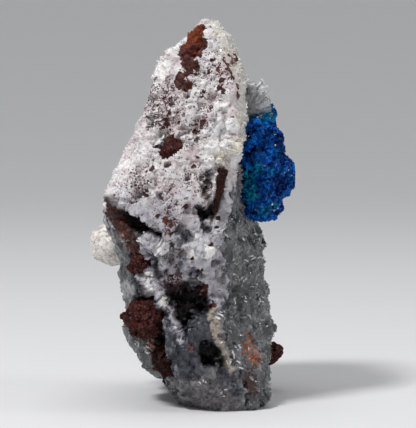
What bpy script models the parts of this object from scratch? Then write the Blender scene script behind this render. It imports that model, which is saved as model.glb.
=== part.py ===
"""Cavansite cluster: a blue crystal cluster on a plate of zeolite-cemented breccia, standing on its flat foot.

Units are metres, +Z is up, and the origin lies on the flat foot. The broken edge of the plate faces -Y,
the druse with the blue cluster faces +X, and the pale ball sits on the left crust at -X.
"""

import math

import bmesh
import bpy
import numpy as np
from mathutils import Matrix, Vector, noise

MM = 0.001

# Driving dimensions of the whole plate. The gap is what pieces that touch leave between them.
HEIGHT = 60.0 * MM
GAP = 0.3 * MM
PLAN_POWER = 3.4
RINGS = 23
SEGMENTS = 26
FOOT_RINGS = 2
FOOT_SCALE = 0.95
FOOT_EDGE = 0.8 * MM

# Relief of the broken surface: how high each kind of bump is, and how many to a metre.
SWELL_RELIEF = 1.4 * MM
SWELLS_PER_METRE = 80
LUMP_RELIEF = 2.0 * MM
LUMPS_PER_METRE = 135
FINE_RELIEF = 0.7 * MM
FINE_PER_METRE = 420
SWELL_OFFSET = Vector((3.1, 7.7, 1.3))
LUMP_OFFSET = Vector((9.2, 2.4, 5.6))
FINE_OFFSET = Vector((1.7, 4.2, 8.8))

# Thickness of the right crust at the back of the plate.
BACK_CRUST = 2.4 * MM

# Angular blocks on the rock: how many, their radii, and the share of the radius by which each is sunk.
ROCK_LUMPS = 19
ROCK_LUMP_SIZES = (2.2 * MM, 4.4 * MM)
ROCK_LUMP_SUNK = 0.34

# Crystals on the crusts.
DRUSE_ROOT_DEPTH = 2.2 * MM
DRUSE_LENGTHS = (2.4 * MM, 2.9 * MM)
DRUSE_WIDTHS = (3.4 * MM, 5.4 * MM)
RIGHT_ANGLES = (-44, -28, -10, 10, 28)
RIGHT_SPACING = 6.2 * MM
LEFT_ANGLES = (152, 172, 192)
LEFT_SPACING = 5.2 * MM

# One plan section of the plate at each height, in millimetres: the left and right face where they meet the
# front and where they meet the back, the front and back faces, and the seam between rock and druse in front.
SECTIONS = (
    # height, left_front, left_back, right_front, right_back, front, back, seam
    (0.0, -5.0, -9.8, 6.2, 6.8, -11.0, 10.5, 3.0),
    (3.0, -8.0, -11.2, 6.4, 8.1, -12.4, 12.5, 2.4),
    (8.0, -11.4, -14.2, 4.6, 8.5, -13.2, 14.5, 0.4),
    (12.0, -13.6, -15.6, 2.6, 8.5, -13.0, 16.0, -1.4),
    (18.0, -15.0, -16.8, 1.5, 8.2, -12.6, 17.0, -2.0),
    (24.0, -16.2, -17.6, 2.0, 7.5, -13.0, 17.5, -1.4),
    (28.5, -17.8, -17.9, 2.2, 5.8, -14.4, 17.5, -1.0),
    (33.5, -18.8, -17.6, 2.4, 4.6, -15.6, 17.0, 0.0),
    (38.0, -16.4, -15.2, 3.0, 5.0, -14.8, 16.0, 0.7),
    (44.0, -13.2, -12.0, 3.4, 5.0, -12.6, 14.0, 1.2),
    (50.5, -10.9, -9.4, 3.4, 3.6, -9.8, 11.0, 0.2),
    (55.0, -7.8, -6.8, 1.9, 1.6, -7.6, 7.5, -1.6),
    (58.2, -5.0, -4.2, 0.2, 0.2, -5.4, 3.0, -2.8),
    (60.0, -3.6, -3.2, -1.6, -1.8, -3.4, -0.4, -2.9),
)

# Left crust: it covers the lower left face between these heights.
LEFT_CRUST = 2.2 * MM
LEFT_CRUST_FOOT = 2.6 * MM
LEFT_CRUST_TOP = 27.5 * MM

# Hollows broken into the front: middle, half sizes and turn about Y, in millimetres and degrees.
HOLLOWS = {
    "brow_hollow": ((-14.0, -15.2, 29.2), (5.6, 5.2, 2.3), 22),
    "brow_slot": ((-9.8, -14.6, 27.0), (3.6, 3.6, 1.3), 42),
    "main_vug": ((-6.3, -13.6, 16.8), (2.7, 6.0, 2.2), 8),
    "low_vug": ((-2.9, -14.2, 8.2), (2.3, 3.8, 1.8), 35),
    "left_pocket": ((-9.8, -13.0, 10.4), (1.3, 4.4, 2.5), -15),
    "side_pocket": ((-3.6, -15.4, 30.4), (1.6, 3.4, 1.5), 0),
    "ring_pocket": ((-13.2, -13.2, 22.9), (2.2, 2.4, 2.3), 0),
    "back_vug": ((-5.0, 17.6, 21.0), (3.6, 4.6, 5.0), 20),
    "back_hollow": ((-8.0, 15.4, 38.5), (4.4, 4.0, 2.2), -25),
    "vug_tail": ((-6.4, -13.4, 13.8), (1.2, 4.8, 2.1), 10),
}

# Red-brown clasts: middle and half sizes in millimetres, turn about Y and lean about X in degrees, and what
# holds each.
CLASTS = {
    "red_clast_large": ((-12.4, -10.4, 14.4), (3.2, 3.2, 3.4), 25, 0, ("matrix_rock", "druse_crust_left")),
    "red_clast_low": ((-9.0, -9.8, 7.6), (2.1, 2.3, 2.6), -20, 0, ("matrix_rock", "druse_crust_left")),
    "red_clast_ring": ((-13.4, -11.3, 22.9), (1.25, 1.7, 1.5), 0, 0, ("matrix_rock", "druse_crust_left")),
    "red_clast_middle": ((-8.4, -13.0, 40.0), (1.9, 1.6, 1.4), -35, -15, ("matrix_rock",)),
    "red_clast_edge": ((7.2, 8.0, 6.0), (1.6, 1.9, 1.7), 0, 0, ("druse_crust_right",)),
    "red_clast_top": ((-5.2, -5.5, 54.6), (1.7, 2.1, 4.8), 18, -27, ("matrix_rock",)),
}
CLAST_ROUGHNESS = 0.3
CLAST_SEED = 20
RED_PLATE_MIDDLE = Vector((-1.1, -13.9, 33.8)) * MM
RED_PLATE_SIZE = Vector((1.3, 2.4, 6.6)) * MM
RED_PLATE_TURN = math.radians(11)

# The blue cluster: the middle and the reach of each rosette of blades, in millimetres.
ROSETTES = (
    ((5.2, -1.5, 43.4), 2.7),
    ((5.5, -2.0, 40.2), 3.7),
    ((6.5, -2.5, 35.5), 4.4),
    ((4.8, -6.0, 37.8), 3.3),
    ((4.8, -5.6, 33.6), 3.2),
    ((5.8, 2.2, 38.4), 3.7),
    ((6.1, 1.6, 34.0), 3.3),
    ((6.0, -2.4, 30.6), 2.7),
    ((6.4, -0.8, 45.3), 1.7),
    ((5.0, 4.4, 41.0), 2.3),
    ((4.7, -4.6, 41.6), 2.3),
    ((5.0, 4.6, 36.0), 2.4),
    ((4.5, -5.2, 30.8), 2.0),
)
SMALL_ROSETTE = 3.1
ROSETTE_CORE = 0.78
BLADE_ROOT = 0.55
BLADES_PER_MM2 = 0.04
FEWEST_BLADES = 7

STILBITE_ROOT = Vector((3.6, -2.0, 46.0)) * MM
STILBITE_BLADES = 12
STILBITE_LENGTH = 5.4 * MM
STILBITE_CORE = 1.5 * MM
STILBITE_SEAT = 4.5 * MM

BALL_MIDDLE = Vector((-18.2, 4.5, 24.2)) * MM
BALL_RADIUS = 3.5 * MM

ROCK = (0.72, 0.67, 0.67, 1)
DRUSE = (0.42, 0.42, 0.45, 1)
BLUE = (0.005, 0.06, 0.32, 1)
CREAM = (0.78, 0.74, 0.70, 1)
RED_BROWN = (0.13, 0.035, 0.025, 1)


def clear_scene():
    """Removes what the startup file holds."""
    for thing in list(bpy.data.objects):
        bpy.data.objects.remove(thing)


def new_collection(name):
    """A collection linked to the scene."""
    made = bpy.data.collections.new(name)
    bpy.context.scene.collection.children.link(made)
    return made


def new_material(name, colour, roughness):
    """A plain Principled material."""
    made = bpy.data.materials.new(name)
    made.use_nodes = True
    shader = made.node_tree.nodes["Principled BSDF"]
    shader.inputs["Base Color"].default_value = colour
    shader.inputs["Roughness"].default_value = roughness
    shader.inputs["Metallic"].default_value = 0.0
    return made


def add_object(name, shape, collection, material=None):
    """Turns a bmesh into a named object."""
    bmesh.ops.recalc_face_normals(shape, faces=shape.faces)
    mesh = bpy.data.meshes.new(name)
    shape.to_mesh(mesh)
    shape.free()
    made = bpy.data.objects.new(name, mesh)
    collection.objects.link(made)
    if material:
        mesh.materials.append(material)
    return made


def add_cutter(name, shape):
    """Turns a bmesh into a helper that the build leaves out."""
    made = add_object(name, shape, CUTTERS)
    made.hide_render = True
    made.display_type = "WIRE"
    return made


def boolean(target, tool, operation, overlaps_itself=False, solver="EXACT"):
    """Adds one Boolean modifier."""
    step = target.modifiers.new(f"{operation.lower()} {tool.name}", "BOOLEAN")
    step.object = tool
    step.operation = operation
    step.solver = solver
    if solver == "EXACT":
        step.use_self = overlaps_itself


def trim_crust(crust, tool, operation="DIFFERENCE"):
    """Cuts a crust. The exact solver loses solids as thin as these, so this takes the manifold one."""
    boolean(crust, tool, operation, solver="MANIFOLD")


def fused(name, shapes, collection, material=None):
    """One object made of shapes that overlap: the first, with all the others joined to it."""
    first, *others = shapes
    made = add_object(name, first, collection, material)
    boolean(made, add_cutter(f"{name}_pieces", joined(others)), "UNION", overlaps_itself=True)
    if collection is CUTTERS:
        made.hide_render = True
        made.display_type = "WIRE"
    return made


def drop_chips(target):
    """Applies the Booleans and keeps the largest body, since the cuts can leave loose chips."""
    graph = bpy.context.evaluated_depsgraph_get()
    mesh = bpy.data.meshes.new_from_object(target.evaluated_get(graph))
    shape = bmesh.new()
    shape.from_mesh(mesh)
    unseen = set(shape.verts)
    largest = set()
    while unseen:
        reached = {unseen.pop()}
        edge_of_search = list(reached)
        while edge_of_search:
            for edge in edge_of_search.pop().link_edges:
                for vertex in edge.verts:
                    if vertex not in reached:
                        reached.add(vertex)
                        edge_of_search.append(vertex)
        unseen -= reached
        largest = max(largest, reached, key=len)
    bmesh.ops.delete(shape, geom=[v for v in shape.verts if v not in largest], context="VERTS")
    shape.to_mesh(mesh)
    shape.free()
    target.modifiers.clear()
    target.data = mesh


def section_at(height):
    """The plan section of the plate at a height: seven places in metres."""
    table = np.array(SECTIONS) * MM
    return [float(np.interp(height, table[:, 0], table[:, k])) for k in range(1, 8)]


def rounded(angle):
    """A point on the unit superellipse that every plan section follows."""
    power = 2 / PLAN_POWER
    across = math.copysign(abs(math.cos(angle)) ** power, math.cos(angle))
    deep = math.copysign(abs(math.sin(angle)) ** power, math.sin(angle))
    return across, deep


def plate_point(angle, height, scale=1.0):
    """The place on the plate's side at an angle round it and a height; scale shrinks the ring towards its middle."""
    left_front, left_back, right_front, right_back, front, back, _ = section_at(height)
    across, deep = rounded(angle)
    across, deep = across * scale, deep * scale
    share = (deep + 1) / 2
    left = left_front + (left_back - left_front) * share
    right = right_front + (right_back - right_front) * share
    return Vector((left + (right - left) * (across + 1) / 2, front + (back - front) * share, height))


def relief(place):
    """How far the broken surface stands out at a place: blocky lumps on a slow swell, with finer ones on them."""
    swell = noise.noise(place * SWELLS_PER_METRE + SWELL_OFFSET)
    nearest = noise.voronoi(place * LUMPS_PER_METRE + LUMP_OFFSET)[0][0]
    fine = noise.noise(place * FINE_PER_METRE + FINE_OFFSET)
    return SWELL_RELIEF * swell + LUMP_RELIEF * (0.45 - nearest) + FINE_RELIEF * fine


def plate_shape():
    """The whole plate before it is parted: a sphere whose rings are laid on the plan sections."""
    shape = bmesh.new()
    bmesh.ops.create_uvsphere(shape, u_segments=SEGMENTS, v_segments=RINGS, radius=1)
    for vertex in shape.verts:
        ring = round(RINGS * math.acos(max(-1.0, min(1.0, vertex.co.z))) / math.pi)
        angle = math.atan2(vertex.co.y, vertex.co.x)
        if ring >= RINGS - FOOT_RINGS:
            vertex.co = plate_point(angle, 0.0, FOOT_SCALE * (RINGS - ring) / FOOT_RINGS)
        else:
            rise = 1 - ring / (RINGS - FOOT_RINGS - 1)
            vertex.co = plate_point(angle, FOOT_EDGE + (HEIGHT - FOOT_EDGE) * rise)
    shape.normal_update()
    for vertex, normal in [(v, v.normal.copy()) for v in shape.verts]:
        height = vertex.co.z
        fade = min(1.0, height / (2 * MM), (HEIGHT - height) / (5 * MM))
        vertex.co += normal * relief(vertex.co) * fade
    return shape


def seam_right(depth, height):
    """Where the rock meets the right druse, at a depth along Y and a height."""
    _, _, _, right_back, front, back, seam = section_at(height)
    share = min(max((depth - front) / (back - front), 0.0), 1.0)
    return seam + (right_back - BACK_CRUST - seam) * share


def seam_left(depth, height):
    """Where the rock meets the left crust."""
    left_front, left_back, _, _, front, back, _ = section_at(height)
    share = min(max((depth - front) / (back - front), 0.0), 1.0)
    return left_front + (left_back - left_front) * share + LEFT_CRUST


def parting_block(name, seam, side, offset, low, high):
    """A block on one side of a seam, moved from it by an offset: it parts rock from crust."""
    rows, columns, depth_reach, far = 14, 5, 24 * MM, 34 * MM
    shape = bmesh.new()
    bmesh.ops.create_grid(shape, x_segments=columns, y_segments=rows, size=1)
    for vertex in shape.verts:
        depth = vertex.co.x * depth_reach
        height = low + (high - low) * (vertex.co.y + 1) / 2
        vertex.co = (seam(depth, height) + offset, depth, height)
    border = bmesh.ops.extrude_face_region(shape, geom=shape.faces[:])
    for item in border["geom"]:
        if isinstance(item, bmesh.types.BMVert):
            item.co.x = side * far
    return add_cutter(name, shape)


def pebble(middle, half_sizes, turn, roughness, seed=0.0, grow=0.0, lean=0.0):
    """A rough ellipsoid in metres, turned about Y and then leant about X; roughness only takes away from it."""
    shape = bmesh.new()
    bmesh.ops.create_icosphere(shape, subdivisions=2, radius=1)
    for vertex in shape.verts:
        bite = abs(noise.noise(vertex.co * 1.9 + Vector((seed, 2 * seed, 5.0))))
        size = 1 - roughness * min(1.0, 1.6 * bite)
        vertex.co = Vector([c * (h * MM + grow) for c, h in zip(vertex.co * size, half_sizes)])
    turned = Matrix.Rotation(math.radians(lean), 4, "X") @ Matrix.Rotation(math.radians(turn), 4, "Y")
    bmesh.ops.transform(shape, matrix=Matrix.Translation(Vector(middle) * MM) @ turned, verts=shape.verts)
    return shape


def joined(shapes):
    """Several bmeshes as one."""
    whole = bmesh.new()
    for shape in shapes:
        mesh = bpy.data.meshes.new("part")
        shape.to_mesh(mesh)
        shape.free()
        whole.from_mesh(mesh)
        bpy.data.meshes.remove(mesh)
    return whole


def crystal(root, direction, turn, length, width, thickness, tip=0.6, sides=6):
    """One flat-faced crystal: a flattened prism that tapers from its root to a blunt tip."""
    shape = bmesh.new()
    bmesh.ops.create_cone(
        shape, cap_ends=True, segments=sides, radius1=0.5, radius2=0.5 * tip, depth=1,
        matrix=Matrix.Translation((0, 0, 0.5)),
    )
    bmesh.ops.scale(shape, vec=(width, thickness, length), verts=shape.verts)
    aim = direction.to_track_quat("Z", "Y").to_matrix().to_4x4()
    place = Matrix.Translation(root) @ aim @ Matrix.Rotation(turn, 4, "Z")
    bmesh.ops.transform(shape, matrix=place, verts=shape.verts)
    return shape


def face_normal(angle, height):
    """The outward direction of the plate's side, from two short steps along it."""
    around = plate_point(angle + 0.05, height) - plate_point(angle - 0.05, height)
    up = plate_point(angle, min(height + MM, HEIGHT)) - plate_point(angle, max(height - MM, 0))
    return around.cross(up).normalized()


def rock_lumps(random):
    """Angular blocks on the broken faces of the rock, wound round it from the foot to the top."""
    made = []
    for index in range(ROCK_LUMPS):
        height = HEIGHT * (0.05 + 0.86 * (index + 0.5) / ROCK_LUMPS)
        angle = math.radians(50 + 262 * (index * 0.618 % 1))
        size = random.uniform(*ROCK_LUMP_SIZES)
        shape = bmesh.new()
        bmesh.ops.create_icosphere(shape, subdivisions=1, radius=size)
        for vertex in shape.verts:
            vertex.co *= random.uniform(0.72, 1.12)
        flat = Matrix.Diagonal((1, random.uniform(0.6, 1.0), random.uniform(0.45, 0.6), 1))
        aim = face_normal(angle, height).to_track_quat("Z", "Y").to_matrix().to_4x4()
        spin = Matrix.Rotation(random.uniform(0, math.pi), 4, "Z")
        place = plate_point(angle, height)
        middle = place + face_normal(angle, height) * (relief(place) - ROCK_LUMP_SUNK * size)
        bmesh.ops.transform(shape, matrix=Matrix.Translation(middle) @ aim @ spin @ flat, verts=shape.verts)
        made.append(shape)
    return made


def druse_crystals(low, high, angles, spacing, random):
    """Blocky crystals on one side of the plate, on a loose grid with jitter."""
    made = []
    for height in np.arange(low, high, spacing):
        for angle in angles:
            h = float(height + random.uniform(-0.3, 0.3) * spacing)
            a = angle + random.uniform(-0.08, 0.08)
            normal = face_normal(a, h)
            lean = Vector(random.normal(0, 0.3, 3))
            place = plate_point(a, h)
            root = place + normal * (relief(place) - DRUSE_ROOT_DEPTH)
            width = random.uniform(*DRUSE_WIDTHS)
            made.append(crystal(
                root, (normal + lean).normalized(), random.uniform(0, math.pi),
                random.uniform(*DRUSE_LENGTHS), width, width * random.uniform(0.5, 0.8), sides=4,
            ))
    return made


def ball(middle, radius, detail):
    """A faceted ball, with its middle in millimetres and its radius in metres."""
    shape = bmesh.new()
    bmesh.ops.create_icosphere(shape, subdivisions=detail, radius=radius)
    bmesh.ops.translate(shape, vec=Vector(middle) * MM, verts=shape.verts)
    return shape


def rosette_blades(middle, reach, random):
    """Blades that radiate from one rosette's middle, spread evenly over all but the side that faces the druse."""
    middle, reach = Vector(middle) * MM, reach * MM
    count = max(FEWEST_BLADES, round(4 * math.pi * (reach / MM) ** 2 * BLADES_PER_MM2))
    made = []
    for index in range(count):
        rise = 1 - 2 * (index + 0.5) / count
        swing = index * math.pi * (3 - math.sqrt(5)) + random.uniform(-0.3, 0.3)
        flat = math.sqrt(1 - rise * rise)
        outward = Vector((math.cos(swing) * flat, math.sin(swing) * flat, rise))
        if outward.x < -0.35:
            continue
        width = reach * random.uniform(0.5, 0.8)
        made.append(crystal(
            middle + outward * reach * BLADE_ROOT, outward, random.uniform(0, math.pi),
            reach * (random.uniform(0.9, 1.0) - BLADE_ROOT), width, 0.55 * width, tip=0.6, sides=4,
        ))
    return made


def stilbite_shapes():
    """A fan of grey blades that springs from one root above the blue cluster."""
    random = np.random.default_rng(11)
    made = []
    for index in range(STILBITE_BLADES):
        share = index / (STILBITE_BLADES - 1)
        rise = math.radians(30 + 58 * share)
        swing = random.uniform(-0.55, 0.55)
        outward = Vector((math.cos(rise), swing, math.sin(rise))).normalized()
        width = random.uniform(1.5, 2.3) * MM
        made.append(crystal(
            STILBITE_ROOT, outward, random.uniform(-0.5, 0.5),
            STILBITE_LENGTH * random.uniform(0.72, 1.0), width, 0.5 * width, tip=0.75, sides=4,
        ))
    return made


def ball_shape():
    """The pale ball: crystals so short that it reads as one ball with shallow lobes."""
    shape = bmesh.new()
    bmesh.ops.create_icosphere(shape, subdivisions=3, radius=BALL_RADIUS * 0.97)
    for vertex in shape.verts:
        vertex.co *= 1 + 0.06 * noise.noise(vertex.co * 260)
    bmesh.ops.translate(shape, vec=BALL_MIDDLE, verts=shape.verts)
    return shape


def plate_slab(size, grow):
    """The thin red-brown plate that stands in the front, or the slot for it."""
    shape = bmesh.new()
    bmesh.ops.create_cube(shape, size=1)
    bmesh.ops.subdivide_edges(shape, edges=shape.edges[:], cuts=2, use_grid_fill=True)
    for vertex in shape.verts:
        vertex.co = Vector([c * (s + 2 * grow) for c, s in zip(vertex.co, size)])
        if not grow:
            vertex.co += Vector((0.12, 0.12, 0.0)) * MM * noise.noise(vertex.co * 500)
    place = Matrix.Translation(RED_PLATE_MIDDLE) @ Matrix.Rotation(RED_PLATE_TURN, 4, "Y")
    bmesh.ops.transform(shape, matrix=place, verts=shape.verts)
    return shape


clear_scene()
OBJECT = new_collection("cavansite_cluster")
CUTTERS = new_collection("cutters")

rock_finish = new_material("zeolite_breccia", ROCK, 0.8)
druse_finish = new_material("grey_druse", DRUSE, 0.3)
blue_finish = new_material("cavansite_blue", BLUE, 0.3)
cream_finish = new_material("cream_stilbite", CREAM, 0.6)
red_finish = new_material("red_brown_clast", RED_BROWN, 0.75)

# The three solids that share the plate: rock in the middle, a crust on its right and one low on its left.
matrix_rock = add_object("matrix_rock", plate_shape(), OBJECT, rock_finish)
druse_right = add_object("druse_crust_right", plate_shape(), OBJECT, druse_finish)
druse_left = add_object("druse_crust_left", plate_shape(), OBJECT, druse_finish)

# Angular blocks stand out of the rock's broken faces.
boolean(matrix_rock, fused("rock_lumps", rock_lumps(np.random.default_rng(2)), CUTTERS), "UNION")

# Crystals grown over both crusts. The parting that follows trims their roots to the crust.
right_crystals = druse_crystals(
    3.4 * MM, HEIGHT - 7 * MM, np.radians(RIGHT_ANGLES), RIGHT_SPACING, np.random.default_rng(3),
)
boolean(druse_right, add_cutter("right_crystals", joined(right_crystals)), "UNION", overlaps_itself=True)
left_crystals = druse_crystals(
    5 * MM, LEFT_CRUST_TOP - 2 * MM, np.radians(LEFT_ANGLES), LEFT_SPACING, np.random.default_rng(4),
)
boolean(druse_left, add_cutter("left_crystals", joined(left_crystals)), "UNION", overlaps_itself=True)

# Rock and crusts are parted along their seams.
over, under = HEIGHT + 3 * MM, -3 * MM
boolean(matrix_rock, parting_block("rock_side_right", seam_right, 1, -GAP / 2, under, over), "DIFFERENCE")
trim_crust(druse_right, parting_block("crust_side_right", seam_right, 1, GAP / 2, under, over), "INTERSECT")
boolean(
    matrix_rock,
    parting_block("rock_side_left", seam_left, -1, GAP / 2, LEFT_CRUST_FOOT - GAP, LEFT_CRUST_TOP + GAP),
    "DIFFERENCE",
)
trim_crust(
    druse_left,
    parting_block("crust_side_left", seam_left, -1, -GAP / 2, LEFT_CRUST_FOOT, LEFT_CRUST_TOP),
    "INTERSECT",
)

# Hollows broken into the rock.
hollows = [
    pebble(*HOLLOWS[name], roughness=0.35, seed=index) for index, name in enumerate(HOLLOWS)
]
boolean(matrix_rock, fused("hollows", hollows, CUTTERS), "DIFFERENCE")

# Clasts, with a socket for each in the solid that holds it.
for index, (name, (middle, half_sizes, turn, lean, holders)) in enumerate(CLASTS.items()):
    clast = pebble(middle, half_sizes, turn, CLAST_ROUGHNESS, seed=CLAST_SEED + index, lean=lean)
    add_object(name, clast, OBJECT, red_finish)
    socket = add_cutter(f"{name}_socket", pebble(middle, half_sizes, turn, 0, grow=2 * GAP, lean=lean))
    for holder in holders:
        if holder == "matrix_rock":
            boolean(matrix_rock, socket, "DIFFERENCE")
        else:
            trim_crust(bpy.data.objects[holder], socket)
add_object("red_plate", plate_slab(RED_PLATE_SIZE, 0), OBJECT, red_finish)
boolean(matrix_rock, add_cutter("red_plate_slot", plate_slab(RED_PLATE_SIZE, GAP)), "DIFFERENCE")

# The pale ball on the left crust.
add_object("stilbite_ball", ball_shape(), OBJECT, cream_finish)
ball_seat = add_cutter("ball_seat", ball(BALL_MIDDLE / MM, BALL_RADIUS + 2 * GAP, 2))
boolean(matrix_rock, ball_seat, "DIFFERENCE")
trim_crust(druse_left, ball_seat)

# The blue cluster: a ball for each rosette, with the blades that stand out of it.
random_blades = np.random.default_rng(7)
blue_shapes = [
    ball(middle, reach * MM * ROSETTE_CORE, 1 if reach < SMALL_ROSETTE else 2) for middle, reach in ROSETTES
]
for middle, reach in ROSETTES:
    blue_shapes += rosette_blades(middle, reach, random_blades)
blue = fused("cavansite_cluster", blue_shapes, OBJECT, blue_finish)
blue_seat = fused("blue_seat", [ball(m, reach * MM + 2 * GAP, 2) for m, reach in ROSETTES], CUTTERS)
trim_crust(druse_right, blue_seat)

# The grey fan above it.
fan = fused(
    "stilbite_fan", [ball(STILBITE_ROOT / MM, STILBITE_CORE, 2), *stilbite_shapes()], OBJECT, druse_finish
)
boolean(fan, blue_seat, "DIFFERENCE")
fan_seat = add_cutter("fan_seat", ball(STILBITE_ROOT / MM, STILBITE_SEAT, 2))
trim_crust(druse_right, fan_seat)

bpy.context.view_layer.update()
for solid in (matrix_rock, druse_right, druse_left, blue, fan):
    drop_chips(solid)
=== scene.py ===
# %% [markdown]
# # A cavansite cluster on its plate of rock
# The specimen is a broken plate of white rock. A blue crystal cluster grows on its right face, grey crystal
# crusts cover the right face and the lower left one, and red-brown fragments are set in the front. The
# plain solids of all these pieces are loaded first, as a fixed frame. Each piece made here stands on one of
# them and gives it its fine surface. The unit is the metre, so small lengths are written with MM.

# %% Load the frame
import math

import bmesh
import bpy
import numpy as np
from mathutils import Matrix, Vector, noise
from mathutils.bvhtree import BVHTree


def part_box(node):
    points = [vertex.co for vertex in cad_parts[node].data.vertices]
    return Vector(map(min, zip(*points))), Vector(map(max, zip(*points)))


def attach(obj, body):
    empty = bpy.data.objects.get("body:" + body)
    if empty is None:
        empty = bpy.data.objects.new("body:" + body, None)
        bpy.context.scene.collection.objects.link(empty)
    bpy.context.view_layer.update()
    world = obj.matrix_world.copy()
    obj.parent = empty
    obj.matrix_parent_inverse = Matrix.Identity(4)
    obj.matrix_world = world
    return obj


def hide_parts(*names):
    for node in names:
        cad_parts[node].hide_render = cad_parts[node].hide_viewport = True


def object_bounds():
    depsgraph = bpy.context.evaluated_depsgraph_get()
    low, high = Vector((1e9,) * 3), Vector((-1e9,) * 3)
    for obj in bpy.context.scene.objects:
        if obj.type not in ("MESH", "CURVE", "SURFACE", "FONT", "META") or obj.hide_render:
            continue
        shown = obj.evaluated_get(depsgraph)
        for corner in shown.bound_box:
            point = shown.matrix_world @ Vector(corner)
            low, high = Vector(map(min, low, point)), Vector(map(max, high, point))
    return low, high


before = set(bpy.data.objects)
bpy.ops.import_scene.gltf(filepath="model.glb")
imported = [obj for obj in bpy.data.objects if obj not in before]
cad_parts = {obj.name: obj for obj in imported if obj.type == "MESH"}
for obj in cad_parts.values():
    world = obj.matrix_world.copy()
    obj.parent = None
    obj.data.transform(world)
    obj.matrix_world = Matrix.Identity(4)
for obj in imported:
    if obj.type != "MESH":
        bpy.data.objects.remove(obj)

MM = 0.001
BODY = "root"
box_low, box_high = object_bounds()
print("the specimen measures", [round(side / MM, 1) for side in box_high - box_low], "mm")

# %% [markdown]
# ## The camera
# The photo was taken almost level, from 30 cm or more away with a long lens. A focal length given in pixels
# fits a frame exactly: it is the distance at which one pixel is as wide as one unit. The camera comes
# first, because later steps ask it which point of the stone shows at a certain pixel.

# %% Place the camera
PHOTO_WIDTH = 416
PHOTO_HEIGHT = 428
FOCAL_PIXELS = 1911
SENSOR_WIDTH = 36.0
AIM = Vector((-2.83, 0.0, 29.3)) * MM
CAMERA_DISTANCE = 300 * MM
CAMERA_RISE = math.radians(4)
NEAR_LIMIT = 10 * MM
FAR_LIMIT = 20.0


def add_object(name, data):
    """A new object in the scene."""
    made = bpy.data.objects.new(name, data)
    bpy.context.scene.collection.objects.link(made)
    return made


def add_camera():
    """A camera that looks along +Y at the specimen, a little from above."""
    lens = bpy.data.cameras.new("camera")
    lens.sensor_fit = "HORIZONTAL"
    lens.sensor_width = SENSOR_WIDTH
    lens.lens = FOCAL_PIXELS * SENSOR_WIDTH / PHOTO_WIDTH
    lens.clip_start = NEAR_LIMIT
    lens.clip_end = FAR_LIMIT
    made = add_object("camera", lens)
    made.location = AIM + CAMERA_DISTANCE * Vector((0, -math.cos(CAMERA_RISE), math.sin(CAMERA_RISE)))
    made.rotation_euler = (math.radians(90) - CAMERA_RISE, 0, 0)
    bpy.context.scene.camera = made
    return made


camera = add_camera()
print("the camera stands at", [round(x, 3) for x in camera.location])

# %% [markdown]
# ## Finding a mark's place
# A red spot or a dent is easy to name by where it shows in the photo, but it belongs to the stone. So a
# line of sight is sent through the pixel, and the mark sits where that line first meets a solid. From then
# on it is a point in space, and it stays on the stone from every side.

# %% Send a line of sight to the stone
def search_tree(objects):
    """One search tree over the meshes of several objects."""
    corners = []
    faces = []
    for one in objects:
        first = len(corners)
        corners += [corner.co for corner in one.data.vertices]
        faces += [[first + i for i in face.vertices] for face in one.data.polygons]
    return BVHTree.FromPolygons(corners, faces)


ALL_SOLIDS = search_tree(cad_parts.values())


def seen_with_normal(across, down, tree=ALL_SOLIDS):
    """The point of the stone that shows at this pixel, and the way its surface looks there.

    Where the pixel misses the stone, it is the point nearest to the line of sight."""
    sight = Vector((across - PHOTO_WIDTH / 2, PHOTO_HEIGHT / 2 - down, -FOCAL_PIXELS))
    sight.rotate(camera.rotation_euler)
    sight.normalize()
    met, normal = tree.ray_cast(camera.location, sight)[:2]
    if met is None:
        met, normal = tree.find_nearest(camera.location + sight * CAMERA_DISTANCE)[:2]
    return np.array(met), np.array(normal)


def seen_at(across, down):
    """The point of the stone that shows at this pixel."""
    return seen_with_normal(across, down)[0]


print("the middle of the blue cluster is at", np.round(seen_at(265, 165) / MM, 1), "mm")


# %% Measure how close points are to named marks
# A mark reaches twice as far in depth as it does across, because the relief lifts the surface off the
# solid.
DEPTH_SHARE = np.array([1.0, 0.5, 1.0])


def nearness(points, marks):
    """How close each point is to the nearest mark: 1 at its middle, 0 from its reach on.

    A mark is its pixel across, its pixel down and its reach in millimetres."""
    closest = np.zeros(len(points))
    for across, down, reach in marks:
        away = np.linalg.norm((points - seen_at(across, down)) * DEPTH_SHARE, axis=1) / (reach * MM)
        closest = np.maximum(closest, 1 - np.clip(away, 0, 1))
    return closest


def line_nearness(points, lines, reach):
    """How close each point is to the nearest line of pixels: 1 on it, 0 from its reach on."""
    closest = np.zeros(len(points))
    for line in lines:
        stops = [seen_at(across, down) for across, down in line]
        for start, end in zip(stops, stops[1:]):
            way = end - start
            share = np.clip((points - start) @ way / (way @ way), 0, 1)
            away = np.linalg.norm((points - start - share[:, None] * way) * DEPTH_SHARE, axis=1) / reach
            closest = np.maximum(closest, 1 - np.clip(away, 0, 1))
    return closest


def closeness(points, node_name, reach):
    """How close each point is to the surface of a solid: 1 on it, 0 from its reach on."""
    tree = search_tree([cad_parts[node_name]])
    low, high = (np.array(corner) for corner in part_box(node_name))
    closest = np.zeros(len(points))
    for number in np.flatnonzero(np.all((points > low - reach) & (points < high + reach), axis=1)):
        away = tree.find_nearest(Vector(points[number]), reach)[3]
        if away is not None:
            closest[number] = 1 - away / reach
    return closest


def smooth_step(values, low, high):
    """0 below low, 1 above high, and a soft slope between."""
    share = np.clip((values - low) / (high - low), 0, 1)
    return share * share * (3 - 2 * share)


# %% [markdown]
# ## A fine surface for a solid
# Broken stone has detail down to a tenth of a millimetre, and the solids have faces of two. A voxel remesh
# covers a copy of a solid with even small faces. They are then pushed in and out by noise of a few sizes. A
# subdivision would keep the solid's own edges, and a bump map would leave the outline smooth.

# %% Copy a solid with small even faces
SAME_CORNER = 0.001 * MM


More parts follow.
